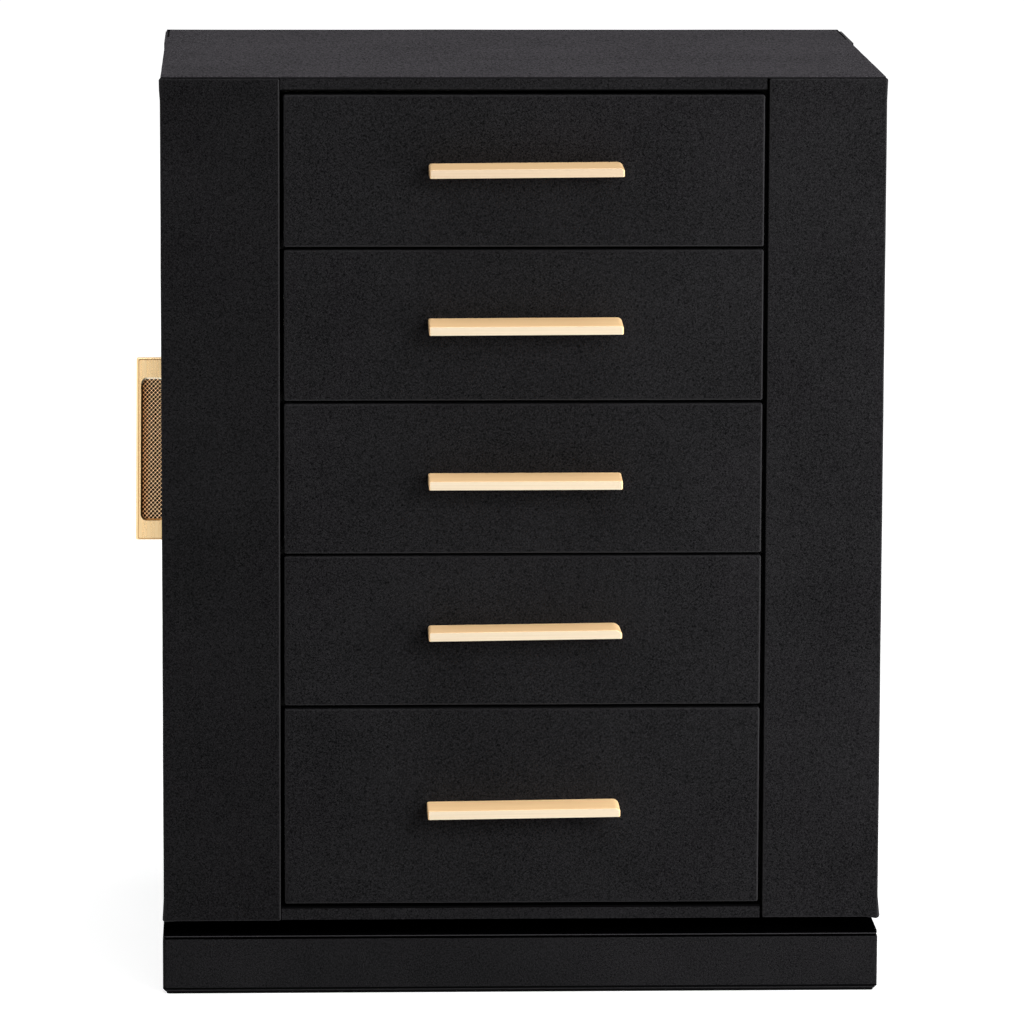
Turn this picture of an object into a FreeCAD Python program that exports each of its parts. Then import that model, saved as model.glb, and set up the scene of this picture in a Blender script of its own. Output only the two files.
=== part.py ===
import FreeCAD, Part
import math
import os

# Rotating jewellery box: a drawer cabinet with two side doors on a turntable and a low plinth.
# Frame: millimetres, +Z up, drawer fronts face -Y, +X to the right.
# The origin is on the spin axis, in the face that the plinth rests on.

# Overall size of the cabinet in plan
cabinet_width = 280.0
cabinet_depth = 214.0

# Plinth
base_side_overhang = 0.4
base_end_overhang = 0.2
base_height = 24.0
base_wall = 9.0
base_corner_round = 1.5
base_edge_round = 0.4
base_edge_chamfer = 1.1
pad_thickness = 0.9
pad_inset = 1.4
lid_edge_thickness = 1.1
lid_edge_inset = 0.2
lid_groove_height = 0.9
lid_groove_depth = 0.9
lid_plug_depth = 4.5
lid_plug_gap = 0.2

# Turntable between plinth and cabinet
turntable_gap = 5.5
plate_size = 92.0
plate_thickness = 1.2
plate_corner_radius = 9.0
race_radius = 24.0
ball_diameter = 4.0
ball_count = 16
ball_clearance = 0.15
cage_thickness = 1.0
cage_width = 13.0
rivet_diameter = 8.0
rivet_head_diameter = 13.0
rivet_head_thickness = 1.0
rivet_running_clearance = 0.06
rivet_end_clearance = 0.1
rivet_head_room = 0.6
plate_screw_diameter = 3.5
plate_screw_length = 5.0
plate_screw_head_diameter = 7.0
plate_screw_head_height = 0.6
plate_screw_inset = 10.0
plate_hole_clearance = 0.25
access_hole_diameter = 9.0

# Cabinet boards
bottom_board_thickness = 5.2
top_board_thickness = 4.6
top_cover_thickness = 0.8
top_cover_inset = 0.5
top_cover_round = 0.3
board_recess = 0.4
rail_seam = 0.3
stile_width = 45.9
stile_thickness = 10.0
inner_wall_thickness = 5.0
back_board_thickness = 7.0
shelf_thickness = 3.0
edge_round = 0.7

# Rear posts: their wrap stands proud of the sides and reaches past the top and bottom boards
post_depth = 56.2
post_thickness = 14.8
post_proud = 0.6
post_skin = 0.9
post_skin_below_top = 0.2
stop_width = 4.5
slit_width = 0.6
slit_length = 43.0

# Drawers
drawer_count = 5
drawer_front_height = 59.25
bottom_front_height = 78.25
front_gap = 0.7
rail_gap = 1.25
front_side_gap = 1.0
front_thickness = 9.0
front_behind_gap = 0.7
tray_wall = 3.0
tray_back_room = 8.0
tray_height = 46.0
bottom_tray_height = 64.0
tray_side_gap = 1.5
tray_slide_gap = 0.3
divider_thickness = 3.0
divider_height = 30.0
divider_gap = 0.3
tray_divisions = {2: (3, 3), 3: (3, 1), 4: (2, 2)}
roll_diameter = 16.0
roll_height = 18.0
roll_round = 6.4
roll_gap = 0.4
roll_end_gap = 0.6

# Pulls: a flat bar with a recessed grip in its lower face
pull_length = 75.0
pull_projection = 12.8
pull_thickness = 4.8
pull_chamfer = 1.0
pull_end_round = 1.5
grip_length = 57.5
grip_tip_lip = 2.3
grip_root_lip = 2.2
grip_depth = 1.6
grip_corner_radius = 3.0
grip_bevel = 0.6
grip_bevel_land = 0.01
pull_screw_spacing = 66.0
pull_screw_diameter = 3.0
pull_screw_engagement = 8.0
pull_screw_clearance = 0.25
pull_screw_head_diameter = 5.6
pull_screw_head_height = 2.0
driver_recess_diameter = 2.2
driver_recess_depth = 1.1

# Side doors
door_thickness = 9.0
door_gap = 0.8
door_free_gap = 0.8
door_stop_gap = 0.3
door_pull_edge_distance = 7.6
pivot_pin_diameter = 4.0
pivot_pin_depth = 10.0
pivot_pin_seat = 4.2
pivot_running_clearance = 0.05
pivot_end_clearance = 0.5
magnet_diameter = 6.0
magnet_length = 4.0
strike_length = 1.5
magnet_edge_distance = 62.0
hook_pitch = 17.0
hook_wire = 2.4
hook_reach = 9.0
hook_bend_radius = 2.4
hook_tip_rise = 2.5
hook_ball_diameter = 3.6
hook_rail_height = 14.0
hook_rail_thickness = 1.2
hook_rail_below_top = 26.0
hook_rail_margin = 7.0
pocket_height = 80.0
pocket_depth = 12.0
pocket_wall = 1.2
pocket_above_bottom = 10.0
pocket_from_pivot = 14.0
pocket_from_stop = 17.0

# How close two places must be to count as one
same_place = 0.001

# Levels
cabinet_bottom = base_height + turntable_gap
bay_floor = cabinet_bottom + bottom_board_thickness
drawer_pitch = drawer_front_height + front_gap
upper_fronts = drawer_count - 1
first_front_bottom = bay_floor + rail_gap
fronts_top = first_front_bottom + bottom_front_height + upper_fronts * drawer_pitch
bay_ceiling = fronts_top + rail_gap
cover_bottom = bay_ceiling + top_board_thickness
cabinet_top = cover_bottom + top_cover_thickness

# Plan positions, from the spin axis
base_half_x = cabinet_width / 2 + base_side_overhang
base_half_y = cabinet_depth / 2 + base_end_overhang
half_width = cabinet_width / 2
front_y = -cabinet_depth / 2
back_y = cabinet_depth / 2
stile_back_y = front_y + stile_thickness
back_board_y = back_y - back_board_thickness
opening_half = half_width - stile_width
inner_wall_outer = opening_half + inner_wall_thickness
front_back_y = front_y + front_thickness
shelf_front_y = front_back_y + front_behind_gap
post_front_y = back_board_y - post_depth
door_edge_y = post_front_y - door_free_gap
door_inner_x = half_width - door_thickness
pivot_x = half_width - door_thickness / 2
pivot_y = stile_back_y + door_gap + door_thickness / 2
door_bottom = bay_floor + door_gap
door_top = bay_ceiling - door_gap
pocket_start_y = pivot_y + pocket_from_pivot
pocket_end_y = post_front_y - stop_width - pocket_from_stop
hook_steps = int((pocket_end_y - pocket_start_y - 2 * hook_rail_margin) // hook_pitch)
board_half = half_width - top_cover_inset
ball_level = base_height + turntable_gap / 2
tray_half = opening_half - tray_side_gap
tray_back_y = back_board_y - tray_back_room
tray_inner_half = tray_half - tray_wall
tray_inner_front_y = front_back_y + tray_wall
tray_inner_back_y = tray_back_y - tray_wall


def block(x0, x1, y0, y1, z0, z1):
    """Return a box between two opposite corners."""
    return Part.makeBox(x1 - x0, y1 - y0, z1 - z0, FreeCAD.Vector(x0, y0, z0))


def rod(radius, start, direction, length):
    """Return a cylinder that starts at a point and runs along a direction."""
    return Part.makeCylinder(radius, length, FreeCAD.Vector(*start), FreeCAD.Vector(*direction))


def mirror_to_right(shape):
    """Return the right-hand twin of a left-hand piece."""
    return shape.mirror(FreeCAD.Vector(0, 0, 0), FreeCAD.Vector(1, 0, 0))


def edges_in_plane(shape, axis, value):
    """Return the edges whose ends lie in a plane across one axis."""
    found = []
    for edge in shape.Edges:
        places = [getattr(vertex.Point, axis) for vertex in edge.Vertexes]
        if all(abs(place - value) < same_place for place in places):
            found.append(edge)
    return found


def upright_edges(shape, y=None):
    """Return the edges along Z, only those at one y where it is given."""
    found = []
    for edge in shape.Edges:
        first = edge.Vertexes[0].Point
        last = edge.Vertexes[-1].Point
        upright = math.hypot(first.x - last.x, first.y - last.y) < same_place
        if upright and (y is None or abs(first.y - y) < same_place):
            found.append(edge)
    return found


def corner_places(half_x, half_y):
    """Return the four corners of a rectangle about the spin axis."""
    return [(sx * half_x, sy * half_y) for sx in (-1, 1) for sy in (-1, 1)]


def save(name, shape):
    """Write one sub-part to its own file."""
    shape.exportStep("parts/" + name + ".step")


def front_bottom(number):
    """Return the height of the lower edge of a drawer front, counted from 1 at the top."""
    if number == drawer_count:
        return first_front_bottom
    above_bottom = drawer_count - 1 - number
    return first_front_bottom + bottom_front_height + front_gap + above_bottom * drawer_pitch


def front_height(number):
    """Return the height of a drawer front."""
    return bottom_front_height if number == drawer_count else drawer_front_height


def tray_bottom(number):
    """Return the height of the underside of a drawer's tray."""
    if number == drawer_count:
        return bay_floor + tray_slide_gap
    return front_bottom(number) - front_gap / 2 + shelf_thickness / 2 + tray_slide_gap


def tray_outer_height(number):
    """Return the outside height of a drawer's tray."""
    return bottom_tray_height if number == drawer_count else tray_height


# Plinth pieces

def base_frame():
    """The wrapped frame of the plinth, open in the middle."""
    frame_top = base_height - lid_edge_thickness - lid_groove_height
    outside = block(-base_half_x, base_half_x, -base_half_y, base_half_y, pad_thickness, frame_top)
    outside = outside.makeFillet(base_corner_round, upright_edges(outside))
    outside = outside.makeFillet(base_edge_round, edges_in_plane(outside, "z", frame_top))
    outside = outside.makeChamfer(base_edge_chamfer, edges_in_plane(outside, "z", pad_thickness))
    hollow_x = base_half_x - base_wall
    hollow_y = base_half_y - base_wall
    return outside.cut(block(-hollow_x, hollow_x, -hollow_y, hollow_y, pad_thickness, frame_top))


def base_lid_board():
    """The plinth's lid: a thin edge over a groove, and a plug that fits inside the frame."""
    groove_bottom = base_height - lid_edge_thickness - lid_groove_height
    groove_top = base_height - lid_edge_thickness
    edge_x = base_half_x - lid_edge_inset
    edge_y = base_half_y - lid_edge_inset
    sheet = block(-edge_x, edge_x, -edge_y, edge_y, groove_top, base_height)
    sheet = sheet.makeFillet(base_corner_round, upright_edges(sheet))
    neck_x = base_half_x - lid_groove_depth
    neck_y = base_half_y - lid_groove_depth
    neck = block(-neck_x, neck_x, -neck_y, neck_y, groove_bottom, groove_top)
    plug_x = base_half_x - base_wall - lid_plug_gap
    plug_y = base_half_y - base_wall - lid_plug_gap
    plug = block(-plug_x, plug_x, -plug_y, plug_y, groove_bottom - lid_plug_depth, groove_bottom)
    board = sheet.fuse([neck, plug]).removeSplitter()
    head_room = rivet_head_diameter / 2 + rivet_head_room
    board = board.cut(rod(head_room, (0, 0, 0), (0, 0, 1), base_height))
    for x, y in plate_screw_places():
        board = board.cut(rod(plate_screw_diameter / 2, (x, y, base_height), (0, 0, -1), plate_screw_length))
    access = rod(access_hole_diameter / 2, (0, -plate_screw_reach(), 0), (0, 0, 1), base_height)
    return board.cut(access)


def base_bottom_pad():
    """The thin anti-scratch pad that the box rests on."""
    pad_x = base_half_x - pad_inset
    pad_y = base_half_y - pad_inset
    pad = block(-pad_x, pad_x, -pad_y, pad_y, 0, pad_thickness)
    return pad.makeFillet(base_corner_round, upright_edges(pad))


# Turntable pieces

def plate_screw_reach():
    """Return the distance of a plate screw from the spin axis."""
    return math.hypot(1, 1) * (plate_size / 2 - plate_screw_inset)


def plate_screw_places():
    """Return the four plate screw places in plan."""
    offset = plate_size / 2 - plate_screw_inset
    return corner_places(offset, offset)


def race_cutter():
    """The ring that cuts the ball groove into both plates."""
    centre = FreeCAD.Vector(0, 0, ball_level)
    return Part.makeTorus(race_radius, ball_diameter / 2 + ball_clearance, centre)


def turntable_plate(bottom):
    """A square turntable plate with a ball groove, a centre hole and screw holes."""
    half = plate_size / 2
    plate = block(-half, half, -half, half, bottom, bottom + plate_thickness)
    plate = plate.makeFillet(plate_corner_radius, upright_edges(plate))
    centre_radius = rivet_diameter / 2 + rivet_running_clearance
    plate = plate.cut(rod(centre_radius, (0, 0, bottom), (0, 0, 1), plate_thickness))
    hole_radius = plate_screw_diameter / 2 + plate_hole_clearance
    for x, y in plate_screw_places():
        plate = plate.cut(rod(hole_radius, (x, y, bottom), (0, 0, 1), plate_thickness))
    return plate.cut(race_cutter())


def turntable_rivet():
    """The centre rivet that holds the two plates together and takes the spin."""
    upper_head = cabinet_bottom + rivet_end_clearance
    shank = rod(rivet_diameter / 2, (0, 0, base_height), (0, 0, 1), upper_head - base_height)
    head_radius = rivet_head_diameter / 2
    lower = rod(head_radius, (0, 0, base_height), (0, 0, -1), rivet_head_thickness)
    upper = rod(head_radius, (0, 0, upper_head), (0, 0, 1), rivet_head_thickness)
    return shank.fuse([lower, upper]).removeSplitter()


def ball_places():
    """Return the ball centres, evenly spaced round the race."""
    step = 2 * math.pi / ball_count
    angles = [step * index for index in range(ball_count)]
    return [(race_radius * math.cos(a), race_radius * math.sin(a), ball_level) for a in angles]


def turntable_ball_cage():
    """The flat ring that keeps the balls apart."""
    bottom = ball_level - cage_thickness / 2
    outer = rod(race_radius + cage_width / 2, (0, 0, bottom), (0, 0, 1), cage_thickness)
    ring = outer.cut(rod(race_radius - cage_width / 2, (0, 0, bottom), (0, 0, 1), cage_thickness))
    pocket_radius = ball_diameter / 2 + ball_clearance
    for x, y, z in ball_places():
        ring = ring.cut(rod(pocket_radius, (x, y, bottom), (0, 0, 1), cage_thickness))
    return ring


def turntable_balls():
    """The steel balls as a group of separate solids."""
    balls = [Part.makeSphere(ball_diameter / 2, FreeCAD.Vector(*place)) for place in ball_places()]
    return Part.makeCompound(balls)


def plate_screws(seat, into):
    """Four plate screws with flat heads, seated at a height and driven up (1) or down (-1)."""
    head_level = seat - into * plate_thickness
    head_radius = plate_screw_head_diameter / 2
    length = plate_screw_length + plate_thickness
    screws = []
    for x, y in plate_screw_places():
        shank = rod(plate_screw_diameter / 2, (x, y, head_level), (0, 0, into), length)
        head = rod(head_radius, (x, y, head_level), (0, 0, -into), plate_screw_head_height)
        screws.append(shank.fuse(head))
    return Part.makeCompound(screws)


# Cabinet pieces

def carcass_board(bottom, top):
    """A full-width board with a front tongue that shows as a thin rail between the stiles."""
    body = block(-board_half, board_half, stile_back_y, back_board_y, bottom, top)
    tongue_half = opening_half - rail_seam
    tongue = block(-tongue_half, tongue_half, front_y + board_recess, stile_back_y, bottom, top)
    return body.fuse(tongue).removeSplitter()


def pivot_seats(z, direction):
    """The two round seats for the door pivot pins in one board."""
    radius = pivot_pin_diameter / 2
    return [rod(radius, (side * pivot_x, pivot_y, z), direction, pivot_pin_seat) for side in (-1, 1)]


def bottom_board():
    """The cabinet's bottom board, carried by the upper turntable plate."""
    board = carcass_board(cabinet_bottom, bay_floor)
    head_room = rivet_head_diameter / 2 + rivet_head_room
    room_height = rivet_end_clearance + rivet_head_thickness + rivet_head_room
    board = board.cut(rod(head_room, (0, 0, cabinet_bottom), (0, 0, 1), room_height))
    radius = plate_screw_diameter / 2
    for x, y in plate_screw_places():
        board = board.cut(rod(radius, (x, y, cabinet_bottom), (0, 0, 1), plate_screw_length))
    return board.cut(pivot_seats(bay_floor, (0, 0, -1)))


def top_board():
    """The cabinet's top board."""
    board = carcass_board(bay_ceiling, cover_bottom)
    return board.cut(pivot_seats(bay_ceiling, (0, 0, 1)))


def top_cover():
    """The thin covered sheet over the whole top, notched for the slit beside each rear post."""
    front = front_y + board_recess
    sheet = block(-board_half, board_half, front, back_y, cover_bottom, cabinet_top)
    slit_half = board_half - slit_width
    for side in (-1, 1):
        x0, x1 = sorted((side * slit_half, side * half_width))
        sheet = sheet.cut(block(x0, x1, back_board_y - slit_length, back_board_y, cover_bottom, cabinet_top))
    return sheet.makeFillet(top_cover_round, edges_in_plane(sheet, "y", front))


def back_board():
    """The wrapped back board."""
    board = block(-half_width, half_width, back_board_y, back_y, cabinet_bottom, cover_bottom)
    return board.makeFillet(edge_round, upright_edges(board, y=back_y))


def left_front_stile():
    """The wrapped left front stile, full height."""
    stile = block(-half_width, -opening_half, front_y, stile_back_y, cabinet_bottom, cover_bottom)
    return stile.makeFillet(edge_round, upright_edges(stile))


def left_inner_wall():
    """The board between the drawers and the left side compartment."""
    return block(-inner_wall_outer, -opening_half, stile_back_y, back_board_y, bay_floor, bay_ceiling)


def left_rear_post():
    """The left rear post with the door stop and the wrap that stands proud of the side."""
    outer = half_width + post_proud
    main = block(-outer, post_thickness - outer, post_front_y, back_board_y, bay_floor, bay_ceiling)
    stop_outer = door_inner_x - door_stop_gap
    stop_front_y = post_front_y - stop_width
    stop = block(-stop_outer, post_thickness - outer, stop_front_y, post_front_y, bay_floor, bay_ceiling)
    skin_top = cabinet_top - post_skin_below_top
    skin = block(-outer, post_skin - outer, post_front_y, back_board_y, cabinet_bottom, skin_top)
    post = main.fuse([stop, skin]).removeSplitter()
    for z in magnet_levels():
        post = post.cut(rod(magnet_diameter / 2, (-pivot_x, post_front_y, z), (0, 1, 0), magnet_length))
    return post


def shelf_levels():
    """Return the mid heights of the shelves, which lie behind the gaps between the fronts."""
    return [front_bottom(number) - front_gap / 2 for number in range(1, drawer_count)]


def drawer_shelves():
    """The shelves that the upper drawers slide on, as separate solids."""
    shelves = []
    for level in shelf_levels():
        bottom = level - shelf_thickness / 2
        top = level + shelf_thickness / 2
        shelves.append(block(-opening_half, opening_half, shelf_front_y, back_board_y, bottom, top))
    return Part.makeCompound(shelves)


def door_pivot_pins():
    """The four pins that the side doors turn on, held in the top and bottom boards."""
    pins = []
    radius = pivot_pin_diameter / 2
    length = pivot_pin_seat + door_gap + pivot_pin_depth
    for side in (-1, 1):
        x = side * pivot_x
        pins.append(rod(radius, (x, pivot_y, bay_floor - pivot_pin_seat), (0, 0, 1), length))
        pins.append(rod(radius, (x, pivot_y, bay_ceiling + pivot_pin_seat), (0, 0, -1), length))
    return Part.makeCompound(pins)


def magnet_levels():
    """Return the heights of the door magnets."""
    return (bay_floor + magnet_edge_distance, bay_ceiling - magnet_edge_distance)


def door_magnets():
    """The four magnets set into the rear posts."""
    radius = magnet_diameter / 2
    magnets = []
    for side in (-1, 1):
        for z in magnet_levels():
            magnets.append(rod(radius, (side * pivot_x, post_front_y, z), (0, 1, 0), magnet_length))
    return Part.makeCompound(magnets)


# Pulls

def pull_bar():
    """A pull in its own frame: length along X, root at y = 0, grip in the lower face, z from 0."""
    half = pull_length / 2
    bar = block(-half, half, -pull_projection, 0, 0, pull_thickness)
    bar = bar.makeFillet(pull_end_round, upright_edges(bar, y=-pull_projection))
    root = edges_in_plane(bar, "y", 0)
    upper = [edge for edge in edges_in_plane(bar, "z", pull_thickness) if not is_among(edge, root)]
    bar = bar.makeChamfer(pull_chamfer, upper)
    bar = bar.cut(grip_pocket())
    radius = pull_screw_diameter / 2
    level = pull_thickness / 2
    for x in pull_screw_offsets():
        bar = bar.cut(rod(radius, (x, 0, level), (0, -1, 0), pull_screw_engagement))
    return bar


def is_among(edge, others):
    """Tell whether an edge is one of some others."""
    return any(edge.isSame(other) for other in others)


def grip_pocket():
    """The recess cut into the pull's lower face, with rounded corners and a bevelled rim."""
    half = grip_length / 2
    front = grip_tip_lip - pull_projection
    pocket = block(-half, half, front, -grip_root_lip, 0, grip_depth)
    pocket = pocket.makeFillet(grip_corner_radius, upright_edges(pocket))
    rim = pocket_rim(half, front)
    return pocket.fuse(rim)


def pocket_rim(half, front):
    """The bevelled rim of the grip recess: a shallow wider pocket with sloping sides."""
    wide = block(
        -half - grip_bevel, half + grip_bevel,
        front - grip_bevel, grip_bevel - grip_root_lip,
        0, grip_bevel,
    )
    wide = wide.makeFillet(grip_corner_radius + grip_bevel, upright_edges(wide))
    return wide.makeChamfer(grip_bevel - grip_bevel_land, edges_in_plane(wide, "z", grip_bevel))


def pull_screw_offsets():
    """Return the places of the pull's two screws along its length."""
    return (-pull_screw_spacing / 2, pull_screw_spacing / 2)


def pull_screws(grip_through):
    """Two pull screws in the pull's own frame, with their heads behind a given thickness."""
    screws = []
    level = pull_thickness / 2
    for x in pull_screw_offsets():
        length = grip_through + pull_screw_engagement
        shank = rod(pull_screw_diameter / 2, (x, grip_through, level), (0, -1, 0), length)
        head = rod(pull_screw_head_diameter / 2, (x, grip_through, level), (0, 1, 0), pull_screw_head_height)
        head_end = grip_through + pull_screw_head_height
        recess = rod(driver_recess_diameter / 2, (x, head_end, level), (0, -1, 0), driver_recess_depth)
        screws.append(shank.fuse(head).cut(recess))
    return Part.makeCompound(screws)


def place_on_drawer(shape, number):
    """Move a piece from the pull's frame to the middle of a drawer front."""
    placed = shape.copy()
    middle = front_bottom(number) + front_height(number) / 2
    placed.translate(FreeCAD.Vector(0, front_y, middle - pull_thickness / 2))
    return placed


def place_on_left_door(shape):
    """Turn a piece from the pull's frame upright, grip forward, and move it to the left door."""
    placed = shape.copy()
    origin = FreeCAD.Vector(0, 0, 0)
    third_of_a_turn = 120
    placed.rotate(origin, FreeCAD.Vector(1, 1, 1), -third_of_a_turn)
    low = door_edge_y - door_pull_edge_distance - pull_thickness / 2
    middle = (door_bottom + door_top) / 2
    placed.translate(FreeCAD.Vector(-half_width, low, middle))
    return placed


# Drawer pieces

def drawer_front(number):
    """A wrapped drawer front with two screw holes for its pull."""
    half = opening_half - front_side_gap
    bottom = front_bottom(number)
    board = block(-half, half, front_y, front_back_y, bottom, bottom + front_height(number))
    board = board.makeFillet(edge_round, edges_in_plane(board, "y", front_y))
    return board.cut(drawer_screw_holes(number))


def drawer_screw_holes(number):
    """The two clearance holes for a drawer's pull screws."""
    radius = pull_screw_diameter / 2 + pull_screw_clearance
    middle = front_bottom(number) + front_height(number) / 2
    length = front_thickness + tray_wall
    return [rod(radius, (x, front_y, middle), (0, 1, 0), length) for x in pull_screw_offsets()]


def drawer_tray(number):
    """A drawer's lined tray, open at the top."""
    bottom = tray_bottom(number)
    top = bottom + tray_outer_height(number)
    tray = block(-tray_half, tray_half, front_back_y, tray_back_y, bottom, top)
    hollow = block(
        -tray_inner_half, tray_inner_half,
        tray_inner_front_y, tray_inner_back_y,
        bottom + tray_wall, top,
    )
    return tray.cut(hollow).cut(drawer_screw_holes(number))


def tray_divider(number):
    """A cross-lapped set of dividers that stands on a tray's floor."""
    columns, rows = tray_divisions[number]
    bottom = tray_bottom(number) + tray_wall
    top = bottom + divider_height
    half_x = tray_inner_half - divider_gap
    y0 = tray_inner_front_y + divider_gap + pull_screw_head_height
    y1 = tray_inner_back_y - divider_gap
    half = divider_thickness / 2
    boards = []
    for column in range(1, columns):
        x = -half_x + 2 * half_x * column / columns
        boards.append(block(x - half, x + half, y0, y1, bottom, top))
    for row in range(1, rows):
        y = y0 + (y1 - y0) * row / rows
        boards.append(block(-half_x, half_x, y - half, y + half, bottom, top))
    return boards[0].fuse(boards[1:]).removeSplitter()


def ring_rolls():
    """The padded ring rolls of the top drawer, as separate soft solids side by side."""
    bottom = tray_bottom(1) + tray_wall
    half_x = tray_inner_half - roll_end_gap
    start = tray_inner_front_y + pull_screw_head_height + roll_gap
    room = tray_inner_back_y - start
    pitch = roll_diameter + roll_gap
    rolls = []
    for index in range(int(room // pitch)):
        y0 = start + index * pitch
        roll = block(-half_x, half_x, y0, y0 + roll_diameter, bottom + roll_gap, bottom + roll_height)
        rolls.append(roll.makeFillet(roll_round, edges_in_plane(roll, "z", bottom + roll_height)))
    return Part.makeCompound(rolls)


# Side door pieces

def left_door_panel():
    """The left side door: a wrapped panel whose hinge edge is round about its pivot."""
    radius = door_thickness / 2
    height = door_top - door_bottom
    panel = block(-half_width, -door_inner_x, pivot_y, door_edge_y, door_bottom, door_top)
    panel = panel.makeFillet(edge_round, upright_edges(panel, y=door_edge_y))
    panel = panel.fuse(rod(radius, (-pivot_x, pivot_y, door_bottom), (0, 0, 1), height)).removeSplitter()
    bore_radius = pivot_pin_diameter / 2 + pivot_running_clearance
    bore_depth = pivot_pin_depth + pivot_end_clearance
    panel = panel.cut(rod(bore_radius, (-pivot_x, pivot_y, door_bottom), (0, 0, 1), bore_depth))
    panel = panel.cut(rod(bore_radius, (-pivot_x, pivot_y, door_top), (0, 0, -1), bore_depth))
    for z in magnet_levels():
        panel = panel.cut(rod(magnet_diameter / 2, (-pivot_x, door_edge_y, z), (0, -1, 0), strike_length))
    hole = pull_screw_diameter / 2 + pull_screw_clearance
    y = door_edge_y - door_pull_edge_distance
    for offset in pull_screw_offsets():
        z = (door_bottom + door_top) / 2 + offset
        panel = panel.cut(rod(hole, (-half_width, y, z), (1, 0, 0), door_thickness))
    return panel


def left_strike_discs():
    """The steel discs in the left door's free edge, opposite the magnets."""
    discs = []
    for z in magnet_levels():
        discs.append(rod(magnet_diameter / 2, (-pivot_x, door_edge_y, z), (0, -1, 0), strike_length))
    return Part.makeCompound(discs)


def necklace_hook(face, y, level):
    """One wire hook that leaves the rail's face, bends upwards and ends in a ball."""
    bend = hook_bend_radius
    start = FreeCAD.Vector(face, y, level)
    bend_start = FreeCAD.Vector(face + hook_reach - bend, y, level)
    middle_angle = math.pi / 4
    rise = bend * (1 - math.cos(middle_angle))
    bend_middle = bend_start + FreeCAD.Vector(bend * math.sin(middle_angle), 0, rise)
    bend_end = bend_start + FreeCAD.Vector(bend, 0, bend)
    tip = bend_end + FreeCAD.Vector(0, 0, hook_tip_rise)
    path = Part.Wire([
        Part.LineSegment(start, bend_start).toShape(),
        Part.Arc(bend_start, bend_middle, bend_end).toShape(),
        Part.LineSegment(bend_end, tip).toShape(),
    ])
    section = Part.Wire(Part.Circle(start, FreeCAD.Vector(1, 0, 0), hook_wire / 2).toShape())
    wire = path.makePipeShell([section], True, False)
    return wire.fuse(Part.makeSphere(hook_ball_diameter / 2, tip))


def left_hook_rail():
    """The gold strip inside the left door with a row of necklace hooks."""
    top = door_top - hook_rail_below_top
    length = hook_steps * hook_pitch + 2 * hook_rail_margin
    end_y = pocket_start_y + length
    face = hook_rail_thickness - door_inner_x
    rail = block(-door_inner_x, face, pocket_start_y, end_y, top - hook_rail_height, top)
    level = top - hook_rail_height / 2
    first = pocket_start_y + hook_rail_margin
    places = [first + index * hook_pitch for index in range(hook_steps + 1)]
    return rail.fuse([necklace_hook(face, y, level) for y in places]).removeSplitter()


def left_door_pocket():
    """The fabric pocket low on the inside of the left door, open at the top."""
    bottom = door_bottom + pocket_above_bottom
    top = bottom + pocket_height
    reach = pocket_depth - door_inner_x
    outer = block(-door_inner_x, reach, pocket_start_y, pocket_end_y, bottom, top)
    hollow = block(
        -door_inner_x, reach - pocket_wall,
        pocket_start_y + pocket_wall, pocket_end_y - pocket_wall,
        bottom + pocket_wall, top,
    )
    return outer.cut(hollow)


# Writing every piece

os.makedirs("parts", exist_ok=True)

save("base_frame", base_frame())
save("base_lid_board", base_lid_board())
save("base_bottom_pad", base_bottom_pad())
save("turntable_lower_plate", turntable_plate(base_height))
save("turntable_upper_plate", turntable_plate(cabinet_bottom - plate_thickness))
save("turntable_rivet", turntable_rivet())
save("turntable_ball_cage", turntable_ball_cage())
save("turntable_balls", turntable_balls())
save("lower_plate_screws", plate_screws(base_height, -1))
save("upper_plate_screws", plate_screws(cabinet_bottom, 1))

save("bottom_board", bottom_board())
save("top_board", top_board())
save("top_cover", top_cover())
save("back_board", back_board())
save("drawer_shelves", drawer_shelves())
save("door_pivot_pins", door_pivot_pins())
save("door_magnets", door_magnets())

left_pieces = {
    "front_stile": left_front_stile(),
    "inner_wall": left_inner_wall(),
    "rear_post": left_rear_post(),
    "door_panel": left_door_panel(),
    "door_pull": place_on_left_door(pull_bar()),
    "door_pull_screws": place_on_left_door(pull_screws(door_thickness)),
    "door_strike_discs": left_strike_discs(),
    "necklace_hook_rail": left_hook_rail(),
    "door_pocket": left_door_pocket(),
}
for piece_name, piece in left_pieces.items():
    save("left_" + piece_name, piece)
    save("right_" + piece_name, mirror_to_right(piece))

for drawer in range(1, drawer_count + 1):
    prefix = "drawer_" + str(drawer) + "_"
    save(prefix + "front", drawer_front(drawer))
    save(prefix + "tray", drawer_tray(drawer))
    save(prefix + "pull", place_on_drawer(pull_bar(), drawer))
    save(prefix + "pull_screws", place_on_drawer(pull_screws(front_thickness + tray_wall), drawer))
save("drawer_1_ring_rolls", ring_rolls())
for drawer in tray_divisions:
    save("drawer_" + str(drawer) + "_divider", tray_divider(drawer))
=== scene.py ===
import math

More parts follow.
